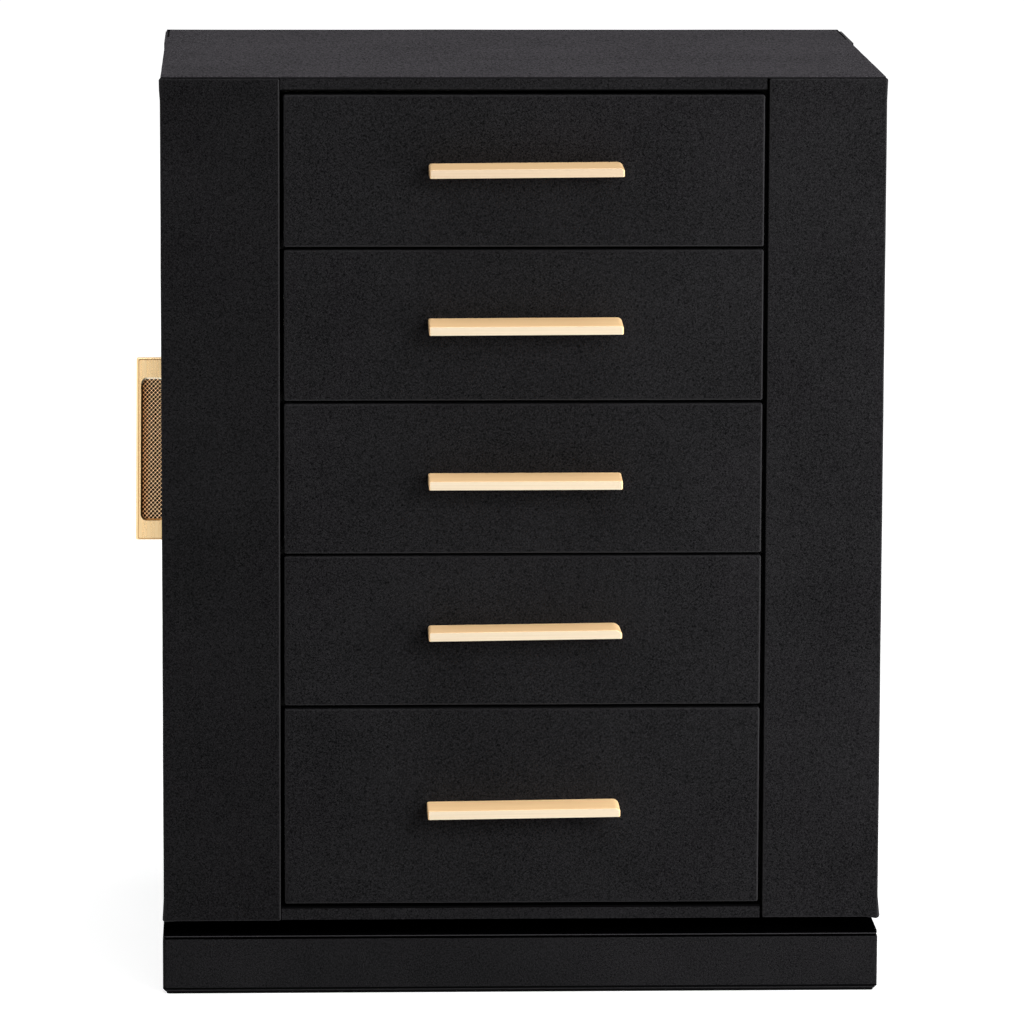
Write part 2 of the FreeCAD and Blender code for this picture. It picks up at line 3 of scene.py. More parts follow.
import bmesh
import bpy
import numpy as np
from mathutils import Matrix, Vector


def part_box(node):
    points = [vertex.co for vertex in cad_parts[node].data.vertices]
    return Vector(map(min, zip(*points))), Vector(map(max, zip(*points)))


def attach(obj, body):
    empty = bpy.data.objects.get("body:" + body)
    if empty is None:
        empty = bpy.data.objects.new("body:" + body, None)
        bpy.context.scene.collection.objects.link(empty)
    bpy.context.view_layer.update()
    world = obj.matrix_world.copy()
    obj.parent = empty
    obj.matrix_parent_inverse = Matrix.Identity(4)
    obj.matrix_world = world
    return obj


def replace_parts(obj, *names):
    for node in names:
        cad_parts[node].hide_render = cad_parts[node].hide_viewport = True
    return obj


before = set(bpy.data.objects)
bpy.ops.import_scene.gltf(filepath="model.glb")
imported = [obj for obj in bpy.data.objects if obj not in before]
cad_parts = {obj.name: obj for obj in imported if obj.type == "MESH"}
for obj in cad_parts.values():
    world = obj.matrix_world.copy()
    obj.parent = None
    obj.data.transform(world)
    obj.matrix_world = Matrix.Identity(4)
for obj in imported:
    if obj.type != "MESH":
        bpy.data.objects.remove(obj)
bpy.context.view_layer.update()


# The plinth is a low fibreboard frame with a thin lid, wrapped in the same black leatherette as the box.
# The leatherette is a coated cloth with a printed pebble grain, glued down and turned round the edges.
# The lid is felted, with a thin leatherette edging, and a felt pad protects what the box stands on. Painted
# shade darkens the lid and the frame's crease and groove, and painted highlights pale the edging and a line
# along the frame's foot.

leather_valley = (0.0012, 0.0012, 0.0014)
leather_crest = (0.0204, 0.0198, 0.0213)
leather_edge_highlight = (0.048, 0.047, 0.049)
edge_line_highlight = (0.031, 0.030, 0.032)
leather_roughness = 0.70
leather_spread = 0.06
leather_gloss = 0.02
pebbles_per_metre = 1600.0
skin_per_metre = 2500.0
mottle_per_metre = 24.0
grain_depth = 0.00010
skin_height, pebble_height = 0.9, 0.5
skin_contrast, pebble_contrast, mottle_contrast = 2.1, 0.7, 0.35
pebble_middle = 0.42
crest_share = 0.42
edge_highlight_strength = 0.55
felt_low = (0.0012, 0.0012, 0.0013)
felt_high = (0.0060, 0.0060, 0.0064)
felt_hairs_per_metre = 1800.0
felt_depth = 0.0002
felt_roughness = 0.95
felt_gloss = 0.02
# Shade black is painted shade: it fills grooves, creases, gaps and slits.
shade_black = (0.0004, 0.0004, 0.0005)
lid_edging_highlight = (0.02270, 0.02325)
frame_groove_shade_from = 0.0219
frame_foot_highlight = (0.0013, 0.00165)
frame_foot_shade_top = 0.0026


class Field:
    """One value that varies over a surface; arithmetic on it adds Math nodes to its material."""

    def __init__(self, finish, output):
        self.finish, self.output = finish, output

    def maths(self, operation, first, second):
        """The field that one Math node makes of two fields or numbers."""
        return self.finish.node("Math", {"operation": operation}, {0: first, 1: second})

    def __add__(self, other):
        return self.maths("ADD", self, other)

    def __sub__(self, other):
        return self.maths("SUBTRACT", self, other)

    def __rsub__(self, other):
        return self.maths("SUBTRACT", other, self)

    def __mul__(self, other):
        return self.maths("MULTIPLY", self, other)

    def __gt__(self, other):
        return self.maths("GREATER_THAN", self, other)

    def __lt__(self, other):
        return self.maths("LESS_THAN", self, other)

    __radd__ = __add__
    __rmul__ = __mul__


class Finish:
    """A procedural material of one covering, plating or board."""

    def __init__(self, name, base, roughness, **constants):
        """Start from one base colour, one roughness and constants of the shader's own sockets."""
        self.material = bpy.data.materials.new(name)
        self.material.use_nodes = True
        self.tree = self.material.node_tree
        self.shader = self.tree.nodes["Principled BSDF"]
        self.set(base_color=(*base, 1.0), roughness=roughness, **constants)

    def set(self, **sockets):
        """Give values or fields to the shader's sockets, named in plain lower case."""
        for name, value in sockets.items():
            words = [word.upper() if word == "ior" else word.capitalize() for word in name.split("_")]
            self.feed(self.shader.inputs[" ".join(words)], value)

    def feed(self, socket, value):
        """Link a field to a socket, or set a plain value on it."""
        if isinstance(value, Field):
            self.tree.links.new(value.output, socket)
        else:
            socket.default_value = value

    def node(self, kind, settings, inputs, output=0):
        """Add a node: its settings come first, then the values or links of its sockets."""
        made = self.tree.nodes.new("ShaderNode" + kind)
        for name, value in settings.items():
            setattr(made, name, value)
        for name, value in inputs.items():
            self.feed(made.inputs[name], value)
        return Field(self, made.outputs[output])

    def place(self):
        """The point on the object, in metres."""
        return self.node("TexCoord", {}, {}, "Object")

    def along(self, axis):
        """One coordinate of the point on the object, in metres."""
        return self.node("SeparateXYZ", {}, {0: self.place()}, axis)

    def between(self, axis, low, high):
        """1 where one coordinate of the point lies between two levels, else 0."""
        level = self.along(axis)
        return (low < level) * (level < high)

    def noise(self, scale, detail=2.0, rough=0.5, place=None):
        """A soft random field about 0.5; scale is in cells per metre."""
        inputs = {"Vector": place or self.place(), "Scale": scale, "Detail": detail, "Roughness": rough}
        return self.node("TexNoise", {}, inputs, "Fac")

    def painted(self, name):
        """A value that the piece's own mesh carries at its points, and 0 where it has none."""
        return self.node("Attribute", {"attribute_name": name}, {}, "Fac")

    def blend(self, share, low, high):
        """A colour that runs from low to high with a field between 0 and 1."""
        low, high = [end if isinstance(end, Field) else (*end, 1.0) for end in (low, high)]
        return self.node("Mix", {"data_type": "RGBA"}, {"Factor": share, 6: low, 7: high}, 2)

    def relief(self, height, depth):
        """Bumps of a depth in metres from a height field between 0 and 1."""
        inputs = {"Height": height, "Distance": depth, "Strength": 1.0}
        self.set(normal=self.node("Bump", {}, inputs))


def dress(finish, *names):
    """Give CAD pieces their finish, in place of the plain one they came with."""
    for name in names:
        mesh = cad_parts[name].data
        mesh.materials.clear()
        mesh.materials.append(finish.material)


def leatherette(name, stretch=(1.0, 1.0, 1.0), painted_light=1.0, gloss=leather_gloss):
    """Black leatherette: rounded pebbles with fine skin on them; crests are paler than valleys, and the
    rounded edges carry a painted highlight.
    """
    # The painted light factor scales the colours: below 1 it paints shade, above 1 a painted sheen.
    valley, crest = np.multiply(leather_valley, painted_light), np.multiply(leather_crest, painted_light)
    finish = Finish(name, valley, leather_roughness, specular_ior_level=gloss)
    laid = finish.node("VectorMath", {"operation": "MULTIPLY"}, {0: finish.place(), 1: stretch})
    spread = {"Vector": laid, "Scale": pebbles_per_metre, "Randomness": 1.0}
    valleys = finish.node("TexVoronoi", {"feature": "SMOOTH_F1"}, spread, "Distance")
    skin = finish.noise(skin_per_metre, detail=3.0, rough=0.62, place=laid)
    patches = finish.noise(mottle_per_metre, detail=3.0, rough=0.55)
    finish.relief(skin * skin_height - valleys * pebble_height, grain_depth)
    crests = (skin - 0.5) * skin_contrast + (pebble_middle - valleys) * pebble_contrast
    crests = crests + (patches - 0.5) * mottle_contrast + crest_share
    grained = finish.blend(crests, valley, crest)
    # The rounded edges are painted paler: a painted highlight along the turned leatherette.
    finish.skin = finish.blend(finish.painted("fold") * edge_highlight_strength, grained, leather_edge_highlight)
    finish.set(base_color=finish.skin)
    finish.set(roughness=leather_roughness - leather_spread + patches * (2 * leather_spread))
    return finish


black_leatherette = leatherette("black_leatherette")

frame_leather = leatherette("base_frame_leatherette")
# The frame's foot gets a band of painted shade for its crease over a pale line of painted highlight, and its
# top a band of painted shade where the groove under the lid is.
frame_skin = frame_leather.blend(
    frame_leather.between("Z", frame_foot_highlight[1], frame_foot_shade_top), frame_leather.skin, shade_black)
frame_skin = frame_leather.blend(frame_leather.between("Z", *frame_foot_highlight), frame_skin, edge_line_highlight)
frame_skin = frame_leather.blend(frame_leather.between("Z", frame_groove_shade_from, 1.0), frame_skin, shade_black)
frame_leather.set(base_color=frame_skin)
dress(frame_leather, "base_frame")

felt = Finish("black_felt", felt_low, felt_roughness, specular_ior_level=felt_gloss)
felt_hair = felt.noise(felt_hairs_per_metre, detail=4.0, rough=0.7)
felt.set(base_color=felt.blend(felt_hair, felt_low, felt_high))
felt.relief(felt_hair, felt_depth)
dress(felt, "base_bottom_pad")

# The lid is painted black as the shade of its groove, with a pale line of painted highlight along its edging.
lid_shade = Finish("base_lid_felt_painted_shade", shade_black, felt_roughness, specular_ior_level=0.0)
lid_shade.set(base_color=lid_shade.blend(lid_shade.between("Z", *lid_edging_highlight), shade_black, edge_line_highlight))
dress(lid_shade, "base_lid_board")


# The turntable is a pair of pressed, zinc-plated plates with a ball race between them.
# A rivet holds the plates together, and four short screws fix each plate to its board.

zinc_dull = (0.52, 0.53, 0.55)
zinc_bright = (0.70, 0.71, 0.71)
zinc_smoothest, zinc_roughness_span = 0.26, 0.20
zinc_blooms_per_metre = 90.0
ball_tone = (0.75, 0.76, 0.78)
ball_smoothest, ball_roughness_span = 0.08, 0.08
ball_marks_per_metre = 700.0

zinc_steel = Finish("zinc_steel", zinc_dull, zinc_smoothest, metallic=1.0)
zinc_bloom = zinc_steel.noise(zinc_blooms_per_metre, detail=3.0, rough=0.6)
zinc_steel.set(roughness=zinc_smoothest + zinc_bloom * zinc_roughness_span)
zinc_steel.set(base_color=zinc_steel.blend(zinc_bloom, zinc_dull, zinc_bright))
dress(zinc_steel, "turntable_lower_plate", "turntable_upper_plate", "turntable_rivet")
dress(zinc_steel, "lower_plate_screws", "upper_plate_screws", "turntable_ball_cage")


def bare_metal(name, tone, smoothest, roughness_span, marks_per_metre):
    """Bare metal of one tone: its roughness is its smoothest and, by a fine noise, up to the span more."""
    finish = Finish(name, tone, smoothest, metallic=1.0)
    finish.set(roughness=smoothest + finish.noise(marks_per_metre) * roughness_span)
    return finish


ball_steel = bare_metal("ball_steel", ball_tone, ball_smoothest, ball_roughness_span, ball_marks_per_metre)
dress(ball_steel, "turntable_balls")


# The carcass is fibreboard: top and bottom boards in leatherette and four shelves in black paper.
# Velvet covers the two inner walls, which the opened side doors show.
# The velvet is a short brushed pile: darker where it lies away, paler where it stands up.

paper_low = (0.006, 0.006, 0.006)
paper_high = (0.016, 0.0155, 0.015)
paper_roughness = 0.8
paper_gloss = 0.2
paper_fibres_per_metre = 1500.0
paper_depth = 0.00006

black_board = Finish("black_board", paper_low, paper_roughness, specular_ior_level=paper_gloss)
paper = black_board.noise(paper_fibres_per_metre, detail=4.0, rough=0.65)
black_board.set(base_color=black_board.blend(paper, paper_low, paper_high))
black_board.relief(paper, paper_depth)
dress(black_board, "drawer_shelves")

# Bands of painted shade along the top board's lower edge and the bottom board's upper edge widen the dark
# gaps above and below the drawers.
top_board_shade_band = 0.00045
bottom_board_shade_band = 0.00075
for node in ("top_board", "bottom_board"):
    low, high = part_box(node)
    leather = leatherette(node + "_leatherette")
    shaded_band = (low.z - 1.0, low.z + top_board_shade_band)
    if node == "bottom_board":
        shaded_band = (high.z - bottom_board_shade_band, high.z + 1.0)
    leather.set(base_color=leather.blend(leather.between("Z", *shaded_band), leather.skin, shade_black))
    dress(leather, node)

velvet_dark = (0.205, 0.176, 0.152)
velvet_light = (0.430, 0.382, 0.340)
velvet_roughness = 0.95
velvet_gloss = 0.1
velvet_sheen = 0.35
pile_per_metre = 2600.0
strokes_per_metre = 34.0
pile_contrast, stroke_contrast = 1.2, 0.8
pile_depth = 0.0003
wall_shade_end = -0.0965


def velvet_cloth(name):
    """Short-pile velvet: fine hair over wide soft strokes where a hand has brushed it."""
    constants = {"specular_ior_level": velvet_gloss, "sheen_weight": velvet_sheen}
    finish = Finish(name, velvet_dark, velvet_roughness, **constants)
    pile = finish.noise(pile_per_metre, detail=3.0, rough=0.7)
    strokes = finish.noise(strokes_per_metre, detail=3.0, rough=0.6)
    standing = (pile - 0.5) * pile_contrast + (strokes - 0.5) * stroke_contrast + 0.5
    finish.nap = finish.blend(standing, velvet_dark, velvet_light)
    finish.set(base_color=finish.nap)
    finish.relief(pile, pile_depth)
    return finish


velvet = velvet_cloth("velvet_lining")
wall_velvet = velvet_cloth("inner_wall_velvet")
# The walls' front strips are painted black: painted shade.
wall_velvet.set(base_color=wall_velvet.blend(
    wall_velvet.between("Y", -1.0, wall_shade_end), wall_velvet.nap, shade_black))
dress(wall_velvet, "left_inner_wall", "right_inner_wall")


# The front stiles, the back board and the top cover are boards in leatherette, soft at every edge.
# At the stiles' ends the folded leatherette stands out a little, as a glued tuck does.
# The cover is slit beside each rear post, where its wrap was cut to go round the post.

edge_steps = (0.0, 15.0, 30.0, 45.0)
board_step = 0.004
ripple_height = 0.00004
ripple_lengths = (0.021, 0.034, 0.055)
half_fold = 1 - math.cos(math.pi / 4)
top_slope = 0.3
highlight_on_top = 0.3
slit_depth = 0.0006
slit_wall = 0.00003
slit_rim = 0.0002


def board_lines(low, high, radius):
    """Grid lines along one side: close together within the radius of each end, evenly spaced between."""
    close = radius * (1 - np.tan(np.radians(45.0 - np.array(edge_steps))))
    count = max(2, int(round((high - low - 2 * radius) / board_step)) + 1)
    middle = np.linspace(low + radius, high - radius, count)[1:-1]
    return np.concatenate([low + close, middle, (high - close)[::-1]])


def quads_over(index):
    """The quads between the points of a grid, given the points' numbers."""
    return np.stack([index[:-1, :-1], index[1:, :-1], index[1:, 1:], index[:-1, 1:]], -1).reshape(-1, 4)


def box_surface(low, high, radius, cuts=((), (), ())):
    """Six grids over a box, welded: points and quads, with every face pointing outwards.

    The cuts are further grid lines along x, y and z. No two lines may weld to each other."""
    lines = [np.union1d(board_lines(low[axis], high[axis], radius), cuts[axis]) for axis in range(3)]
    assert min(np.diff(line).min() for line in lines) > 1e-6
    points, faces, count = [], [], 0
    for axis in range(3):
        u, v = (axis + 1) % 3, (axis + 2) % 3
        for side, level in ((-1, low[axis]), (1, high[axis])):
            grid = np.zeros((len(lines[u]), len(lines[v]), 3))
            grid[..., axis] = level
            grid[..., u], grid[..., v] = np.meshgrid(lines[u], lines[v], indexing="ij")
            index = count + np.arange(grid.shape[0] * grid.shape[1]).reshape(grid.shape[:2])
            faces.append(quads_over(index)[:, ::side])
            points.append(grid.reshape(-1, 3))
            count += len(points[-1])
    points = np.concatenate(points)
    _, first, where = np.unique(np.round(points, 7), axis=0, return_index=True, return_inverse=True)
    return points[first], where.reshape(-1)[np.concatenate(faces)]


def rounded(points, low, high, radius):
    """Move each point to the radius from the nearest point of the inner box; return points and normals."""
    inner = np.clip(points, np.array(low) + radius, np.array(high) - radius)
    away = points - inner
    normals = away / np.linalg.norm(away, axis=1, keepdims=True)
    return inner + radius * normals, normals


def ripple(points, seed):
    """A slow random swell: a sum of sines of a few lengths along directions drawn from the seed."""
    draw = np.random.default_rng(seed)
    total = np.zeros(len(points))
    for length in ripple_lengths:
        direction = draw.normal(size=3)
        direction /= np.linalg.norm(direction) * length / (2 * math.pi)
        total += np.sin(points @ direction + draw.uniform(0, 2 * math.pi))
    return total / len(ripple_lengths)


def edge_highlight_share(normals):
    """How far a normal has turned from its face, as the strength of a painted highlight on the edge: 0 on the
    flat, 1 in the middle of an edge, less on top.
    """
    turn = np.clip((1 - np.abs(normals).max(axis=1)) / half_fold, 0, 1)
    return turn * np.where(normals[:, 2] > top_slope, highlight_on_top, 1.0)


def into_scene(name, data):
    """A new object that holds the data, linked into the scene."""
    made = bpy.data.objects.new(name, data)
    bpy.context.scene.collection.objects.link(made)
    return made


def add_piece(name, points, faces, finish, body, slot, painted=()):
    """Make a smooth piece from points and faces, with its finish and body, and values at its points; the slot
    argument is not used.
    """
    mesh = bpy.data.meshes.new(name)
    faces = faces.tolist() if isinstance(faces, np.ndarray) else faces
    mesh.from_pydata(points.tolist(), [], faces)
    mesh.polygons.foreach_set("use_smooth", np.full(len(mesh.polygons), True))
    mesh.materials.append(finish.material)
    for label, values in dict(painted).items():
        kind = "FLOAT" if values.ndim == 1 else "FLOAT_VECTOR"
        field = "value" if values.ndim == 1 else "vector"
        mesh.attributes.new(label, kind, "POINT").data.foreach_set(field, values.ravel())
    piece = into_scene(name, mesh)
    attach(piece, body)
    return piece


def even_shading(piece):
    """Keep large flats flat in the shading beside narrow rounded edges."""
    modifier = piece.modifiers.new("even_shading", "WEIGHTED_NORMAL")
    modifier.keep_sharp = True
    return piece


def slit_lines(slits):
    """Grid lines along x, y and z for the rims and the walls of slits, each two pairs of (start, end)."""
    cuts = [[], [], []]
    for slit in slits:
        for axis, (start, end) in enumerate(slit):
            cuts[axis] += [start - slit_rim, start, start + slit_wall, end - slit_wall, end, end + slit_rim]
    return cuts


def sunk(points, top, slits):
    """How far each point of a board's top sinks: a slit's depth between its walls, else 0."""
    depth = np.zeros(len(points))
    for slit in slits:
        inside = points[:, 2] > top - 1e-6
        for axis, (start, end) in enumerate(slit):
            inside &= (points[:, axis] > start + slit_wall / 2) & (points[:, axis] < end - slit_wall / 2)
        depth[inside] = slit_depth
    return depth


def wrapped_board(
        node, body, radius, seed, tucks=(), trims=((0, 0, 0), (0, 0, 0)), finish=black_leatherette, slits=()):
    """A board in its leatherette: a rounded box with a slow ripple, a soft swell at each tuck, and slits.

    The trims are what comes off the CAD box at its low and at its high corner."""
    low, high = np.array(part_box(node)) + (trims[0], np.negative(trims[1]))
    points, faces = box_surface(low, high, radius, slit_lines(slits))
    points, normals = rounded(points, low, high, radius)
    swell = ripple(points, seed) * ripple_height - sunk(points, high[2], slits)
    for place, height, spread in tucks:
        swell += height * np.exp(-np.sum(((points - place) / spread) ** 2, axis=1))
    piece = add_piece(
        node + "_wrap", points + normals * swell[:, None], faces, finish,
        body, "black_leatherette", {"fold": edge_highlight_share(normals)},
    )
    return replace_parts(even_shading(piece), node)


stile_edge_round = 0.0008
cover_edge_round = 0.00035
tuck_spread = (0.0016, 0.004, 0.0030)
left_stile_trims = ((0, 0, -0.0004), (0, 0, 0))
right_stile_trims = ((0.0007, 0, 0), (-0.0003, 0, 0))
top_grain_stretch = (0.80, 0.36, 1.0)
top_painted_sheen = (3.56, 3.42, 3.54)
top_gloss = 0.004
left_stile_painted_shade = 0.80
cover_edge_level = 0.3604
cover_trims = ((-0.00025, 0, 0), (-0.00025, 0, 0))
cover_slits = (((-0.1391, -0.1384), (0.070, 0.1062)), ((0.1387, 0.1393), (0.058, 0.1062)))
left_low, left_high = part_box("left_front_stile")
right_low, right_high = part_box("right_front_stile")

# A tuck is its place, its height and its spread, all in metres.
left_tucks = [
    ((left_low.x, left_low.y, left_high.z - 0.0025), 0.0006, tuck_spread),
    ((left_low.x, left_low.y, left_low.z + 0.0015), 0.0005, tuck_spread),
]
right_tucks = [
    ((right_high.x, right_low.y, right_high.z - 0.0020), 0.0004, tuck_spread),
    ((right_high.x, right_low.y, right_low.z + 0.0020), 0.0010, tuck_spread),
]
# The left stile's leatherette is painted a shade darker than the rest: painted shade where less light falls.
left_shaded_leatherette = leatherette("left_stile_shaded_leatherette", painted_light=left_stile_painted_shade)
wrapped_board(
    "left_front_stile", "cabinet", stile_edge_round, seed=11, tucks=left_tucks,
    trims=left_stile_trims, finish=left_shaded_leatherette,
)
wrapped_board(
    "right_front_stile", "cabinet", stile_edge_round, seed=12, tucks=right_tucks, trims=right_stile_trims)
wrapped_board("back_board", "cabinet", stile_edge_round, seed=13)
# The top's leatherette is painted about three and a half times paler: a painted sheen of the light on the
# top.
top_sheen_leatherette = leatherette("top_sheen_leatherette", top_grain_stretch, top_painted_sheen, top_gloss)
# Below the cover's top edge its narrow sides are painted plain dark, without that sheen: painted shade.
cover_skin = top_sheen_leatherette.blend(
    top_sheen_leatherette.between("Z", -1.0, cover_edge_level), top_sheen_leatherette.skin, np.array(leather_crest) / 2)
# Inside each slit the cover is painted black: painted shade over the slit's real depth.
for across_slit, along_slit in cover_slits:
    in_slit = top_sheen_leatherette.between("X", *across_slit) * top_sheen_leatherette.between("Y", *along_slit)
    cover_skin = top_sheen_leatherette.blend(in_slit, cover_skin, shade_black)
top_sheen_leatherette.set(base_color=cover_skin)
wrapped_board(
    "top_cover", "cabinet", cover_edge_round, seed=14, trims=cover_trims,
    finish=top_sheen_leatherette, slits=cover_slits,
)


# The rear posts are wrapped boards whose skin stands proud of the sides and ends just below the cover's top.
# The left one's wrap was pressed almost flush with the side.

post_top_sheen = (0.034, 0.033, 0.0355)
flush_side = 0.1401


def mesh_points(mesh):
    """A mesh's points as an array."""
    points = np.empty(len(mesh.vertices) * 3)
    mesh.vertices.foreach_get("co", points)
    return points.reshape(-1, 3)


def flush_post():
    """The left post's own triangles, with every point drawn in to the flush side."""
    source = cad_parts["left_rear_post"].data
    corner_index = np.empty(len(source.loops), dtype=np.int32)
    source.loops.foreach_get("vertex_index", corner_index)
    points = mesh_points(source)
    points[:, 0] = np.maximum(points[:, 0], -flush_side)
    return points, corner_index.reshape(-1, 3)


# The posts' tops above the cover's edge are painted paler, the same painted sheen as the cover's top.
post_leatherette = leatherette("rear_post_leatherette")
post_leatherette.set(base_color=post_leatherette.blend(
    post_leatherette.between("Z", cover_edge_level, 1.0), post_leatherette.skin, post_top_sheen))
dress(post_leatherette, "right_rear_post")
post = add_piece(
    "left_rear_post_wrap", *flush_post(), post_leatherette, "cabinet", "black_leatherette")
post.data.polygons.foreach_set("use_smooth", np.full(len(post.data.polygons), False))
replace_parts(post, "left_rear_post")


# The pulls are gold-plated bars with a brushed body, a front face and a bevelled recess for the grip; their
# one plating is painted as lit and shaded copies.
# The grip is a cross-cut plate, like a coarse file, let into the recess.
# Two screws through the front or the door hold each pull.

gold_low = (0.94, 0.615, 0.300)
gold_high = (1.00, 0.765, 0.435)
gold_shade_line = (0.40, 0.190, 0.060)
# The cut tones are a lit copy of the plating for the drawer pulls' fronts, the satin tones a shaded copy for
# their bodies, and the pale tones a painted highlight for the door pulls' fronts.
satin_low = (0.93, 0.605, 0.307)
satin_high = (0.99, 0.680, 0.365)
cut_low = (0.61, 0.495, 0.345)
cut_high = (0.68, 0.575, 0.430)
highlight_low = (0.96, 0.80, 0.56)
highlight_high = (1.0, 0.90, 0.70)
gold_gloss, satin_gloss, cut_gloss = (0.28, 0.92), (0.45, 0.04), (0.30, 0.55)
gloss_spread = 0.05
streak_contrast = 1.6
# The pits are painted near black as the shade in them, and ridges and pits run to a painted warm shade
# towards the tip.
ridge_pale, ridge_warm_shade = (1.0, 0.68, 0.39), (0.92, 0.43, 0.16)
pit_shade, pit_warm_shade = (0.002, 0.001, 0.001), (0.080, 0.026, 0.007)
ridge_roughness, pit_roughness_span = 0.10, 0.7
# The top pull's copies are painted darker and warmer: painted shade, as its top takes more lamp light.
top_pull_shade = 0.83
top_pull_cut_shade = (0.97, 0.90, 0.85)
brush_stretch = (14.0, 1500.0, 1500.0)


def brushed(name, low, high, roughness, metallic):
    """Satin plating brushed along the bar: long streaks of tone and gloss in the bar's own frame."""
    finish = Finish(name, low, roughness, metallic=metallic)
    bar_place = finish.node("Attribute", {"attribute_name": "bar_place"}, {}, "Vector")
    stretched = finish.node("VectorMath", {"operation": "MULTIPLY"}, {0: bar_place, 1: brush_stretch})
    streaks = finish.noise(1.0, detail=3.0, rough=0.6, place=stretched)
    tone = finish.blend((streaks - 0.5) * streak_contrast + 0.5, low, high)
    # Where a bar paints its line value, the tone runs to dark brown: painted shade along the facet and in the
    # recess's bevel.
    finish.set(base_color=finish.blend(finish.painted("line"), tone, gold_shade_line))
    finish.set(roughness=roughness - gloss_spread + streaks * (2 * gloss_spread))
    return finish


champagne_gold = brushed("champagne_gold", gold_low, gold_high, *gold_gloss)
highlight_gold = brushed("highlight_gold", highlight_low, highlight_high, *gold_gloss)
shaded_satin_gold = brushed("shaded_satin_gold", satin_low, satin_high, *satin_gloss)
lit_cut = brushed("lit_cut_gold", cut_low, cut_high, *cut_gloss)
top_shaded_satin = np.array([satin_low, satin_high]) * top_pull_shade
top_pull_shaded_satin = brushed("top_pull_shaded_satin", *top_shaded_satin, *satin_gloss)
top_shaded_cut = np.array([cut_low, cut_high]) * top_pull_cut_shade
top_pull_shaded_cut = brushed("top_pull_shaded_cut", *top_shaded_cut, *cut_gloss)

grip_gold = Finish("grip_gold", gold_high, gold_gloss[0], metallic=1.0)
pit = grip_gold.painted("pit")
warm_shade = grip_gold.painted("warm_shade")
ridge_tone = grip_gold.blend(warm_shade, ridge_pale, ridge_warm_shade)
pit_shade_tone = grip_gold.blend(warm_shade, pit_shade, pit_warm_shade)
grip_gold.set(base_color=grip_gold.blend(pit, ridge_tone, pit_shade_tone))
grip_gold.set(roughness=ridge_roughness + pit * pit_roughness_span)

pull_low, pull_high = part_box("drawer_1_pull")
pull_half = (pull_high.x - pull_low.x) / 2
pull_reach = pull_high.y - pull_low.y
pull_height = pull_high.z - pull_low.z
top_fall = 0.0013
fall_start = 0.0022
tip_round = 0.0006
root_round = 0.0003
edge_round = 0.00018
foot_arc = 0.0006
side_steps = 13
facet_width = 0.0010
facet_drop = 0.00030
facet_end_share = 0.15
shade_line_half = 0.00010
shade_line_profile = ((-2.5, 0.0), (-1.0, 0.9), (1.0, 0.9), (2.5, 0.0))
corner_cut = 0.29
grip_half = 0.02875
grip_tip_lip = 0.0028
grip_root_lip = 0.0010
grip_depth = 0.0016
grip_corner = 0.0020
grip_bevel = 0.0008
grip_bevel_depth = 0.00020
grip_land = 0.00012
lip_shade = 1.0
corner_points = 9


def rounded_ring(half, tip, root, tip_radius, root_radius, level):
    """A level ring: a rectangle from tip to root in y whose corners are arcs, anticlockwise from above."""
    turn = np.linspace(0, math.pi / 2, corner_points)
    corners = (
        (half, root, root_radius, 0.0),
        (-half, root, root_radius, math.pi / 2),
        (-half, tip, tip_radius, math.pi),
        (half, tip, tip_radius, 1.5 * math.pi),
    )
    ring = []
    for x, y, radius, start in corners:
        centre_x, centre_y = x - math.copysign(radius, x), y + (radius if y == tip else -radius)
        ring.append(np.stack([
            centre_x + radius * np.cos(start + turn),
            centre_y + radius * np.sin(start + turn),
            np.full(corner_points, level),
        ], -1))
    return np.concatenate(ring)


def skin_between(rings):
    """Quads between rings that follow each other, and one flat face over the first and the last."""
    size = len(rings[0])
    around = np.arange(size)
    faces = []
    for index in range(len(rings) - 1):
        a, b = index * size + around, (index + 1) * size + around
        faces += np.stack([a, b, np.roll(b, -1), np.roll(a, -1)], -1).tolist()
    first = around.tolist()
    last = ((len(rings) - 1) * size + around)[::-1].tolist()
    return np.concatenate(rings), faces + [first, last]


def softened(corners, radius):
    """A path of (inset, level) corners with each inner corner cut twice, within a radius of it."""
    corners = np.array(corners)
    path = [corners[0]]
    for before, corner, after in zip(corners[:-2], corners[1:-1], corners[2:]):
        back, on = before - corner, after - corner
        back *= min(radius, np.linalg.norm(back) / 2.5) / np.linalg.norm(back)
        on *= min(radius, np.linalg.norm(on) / 2.5) / np.linalg.norm(on)
        path += [corner + back, corner + (back + on) * corner_cut, corner + on]
    return path + [corners[-1]]


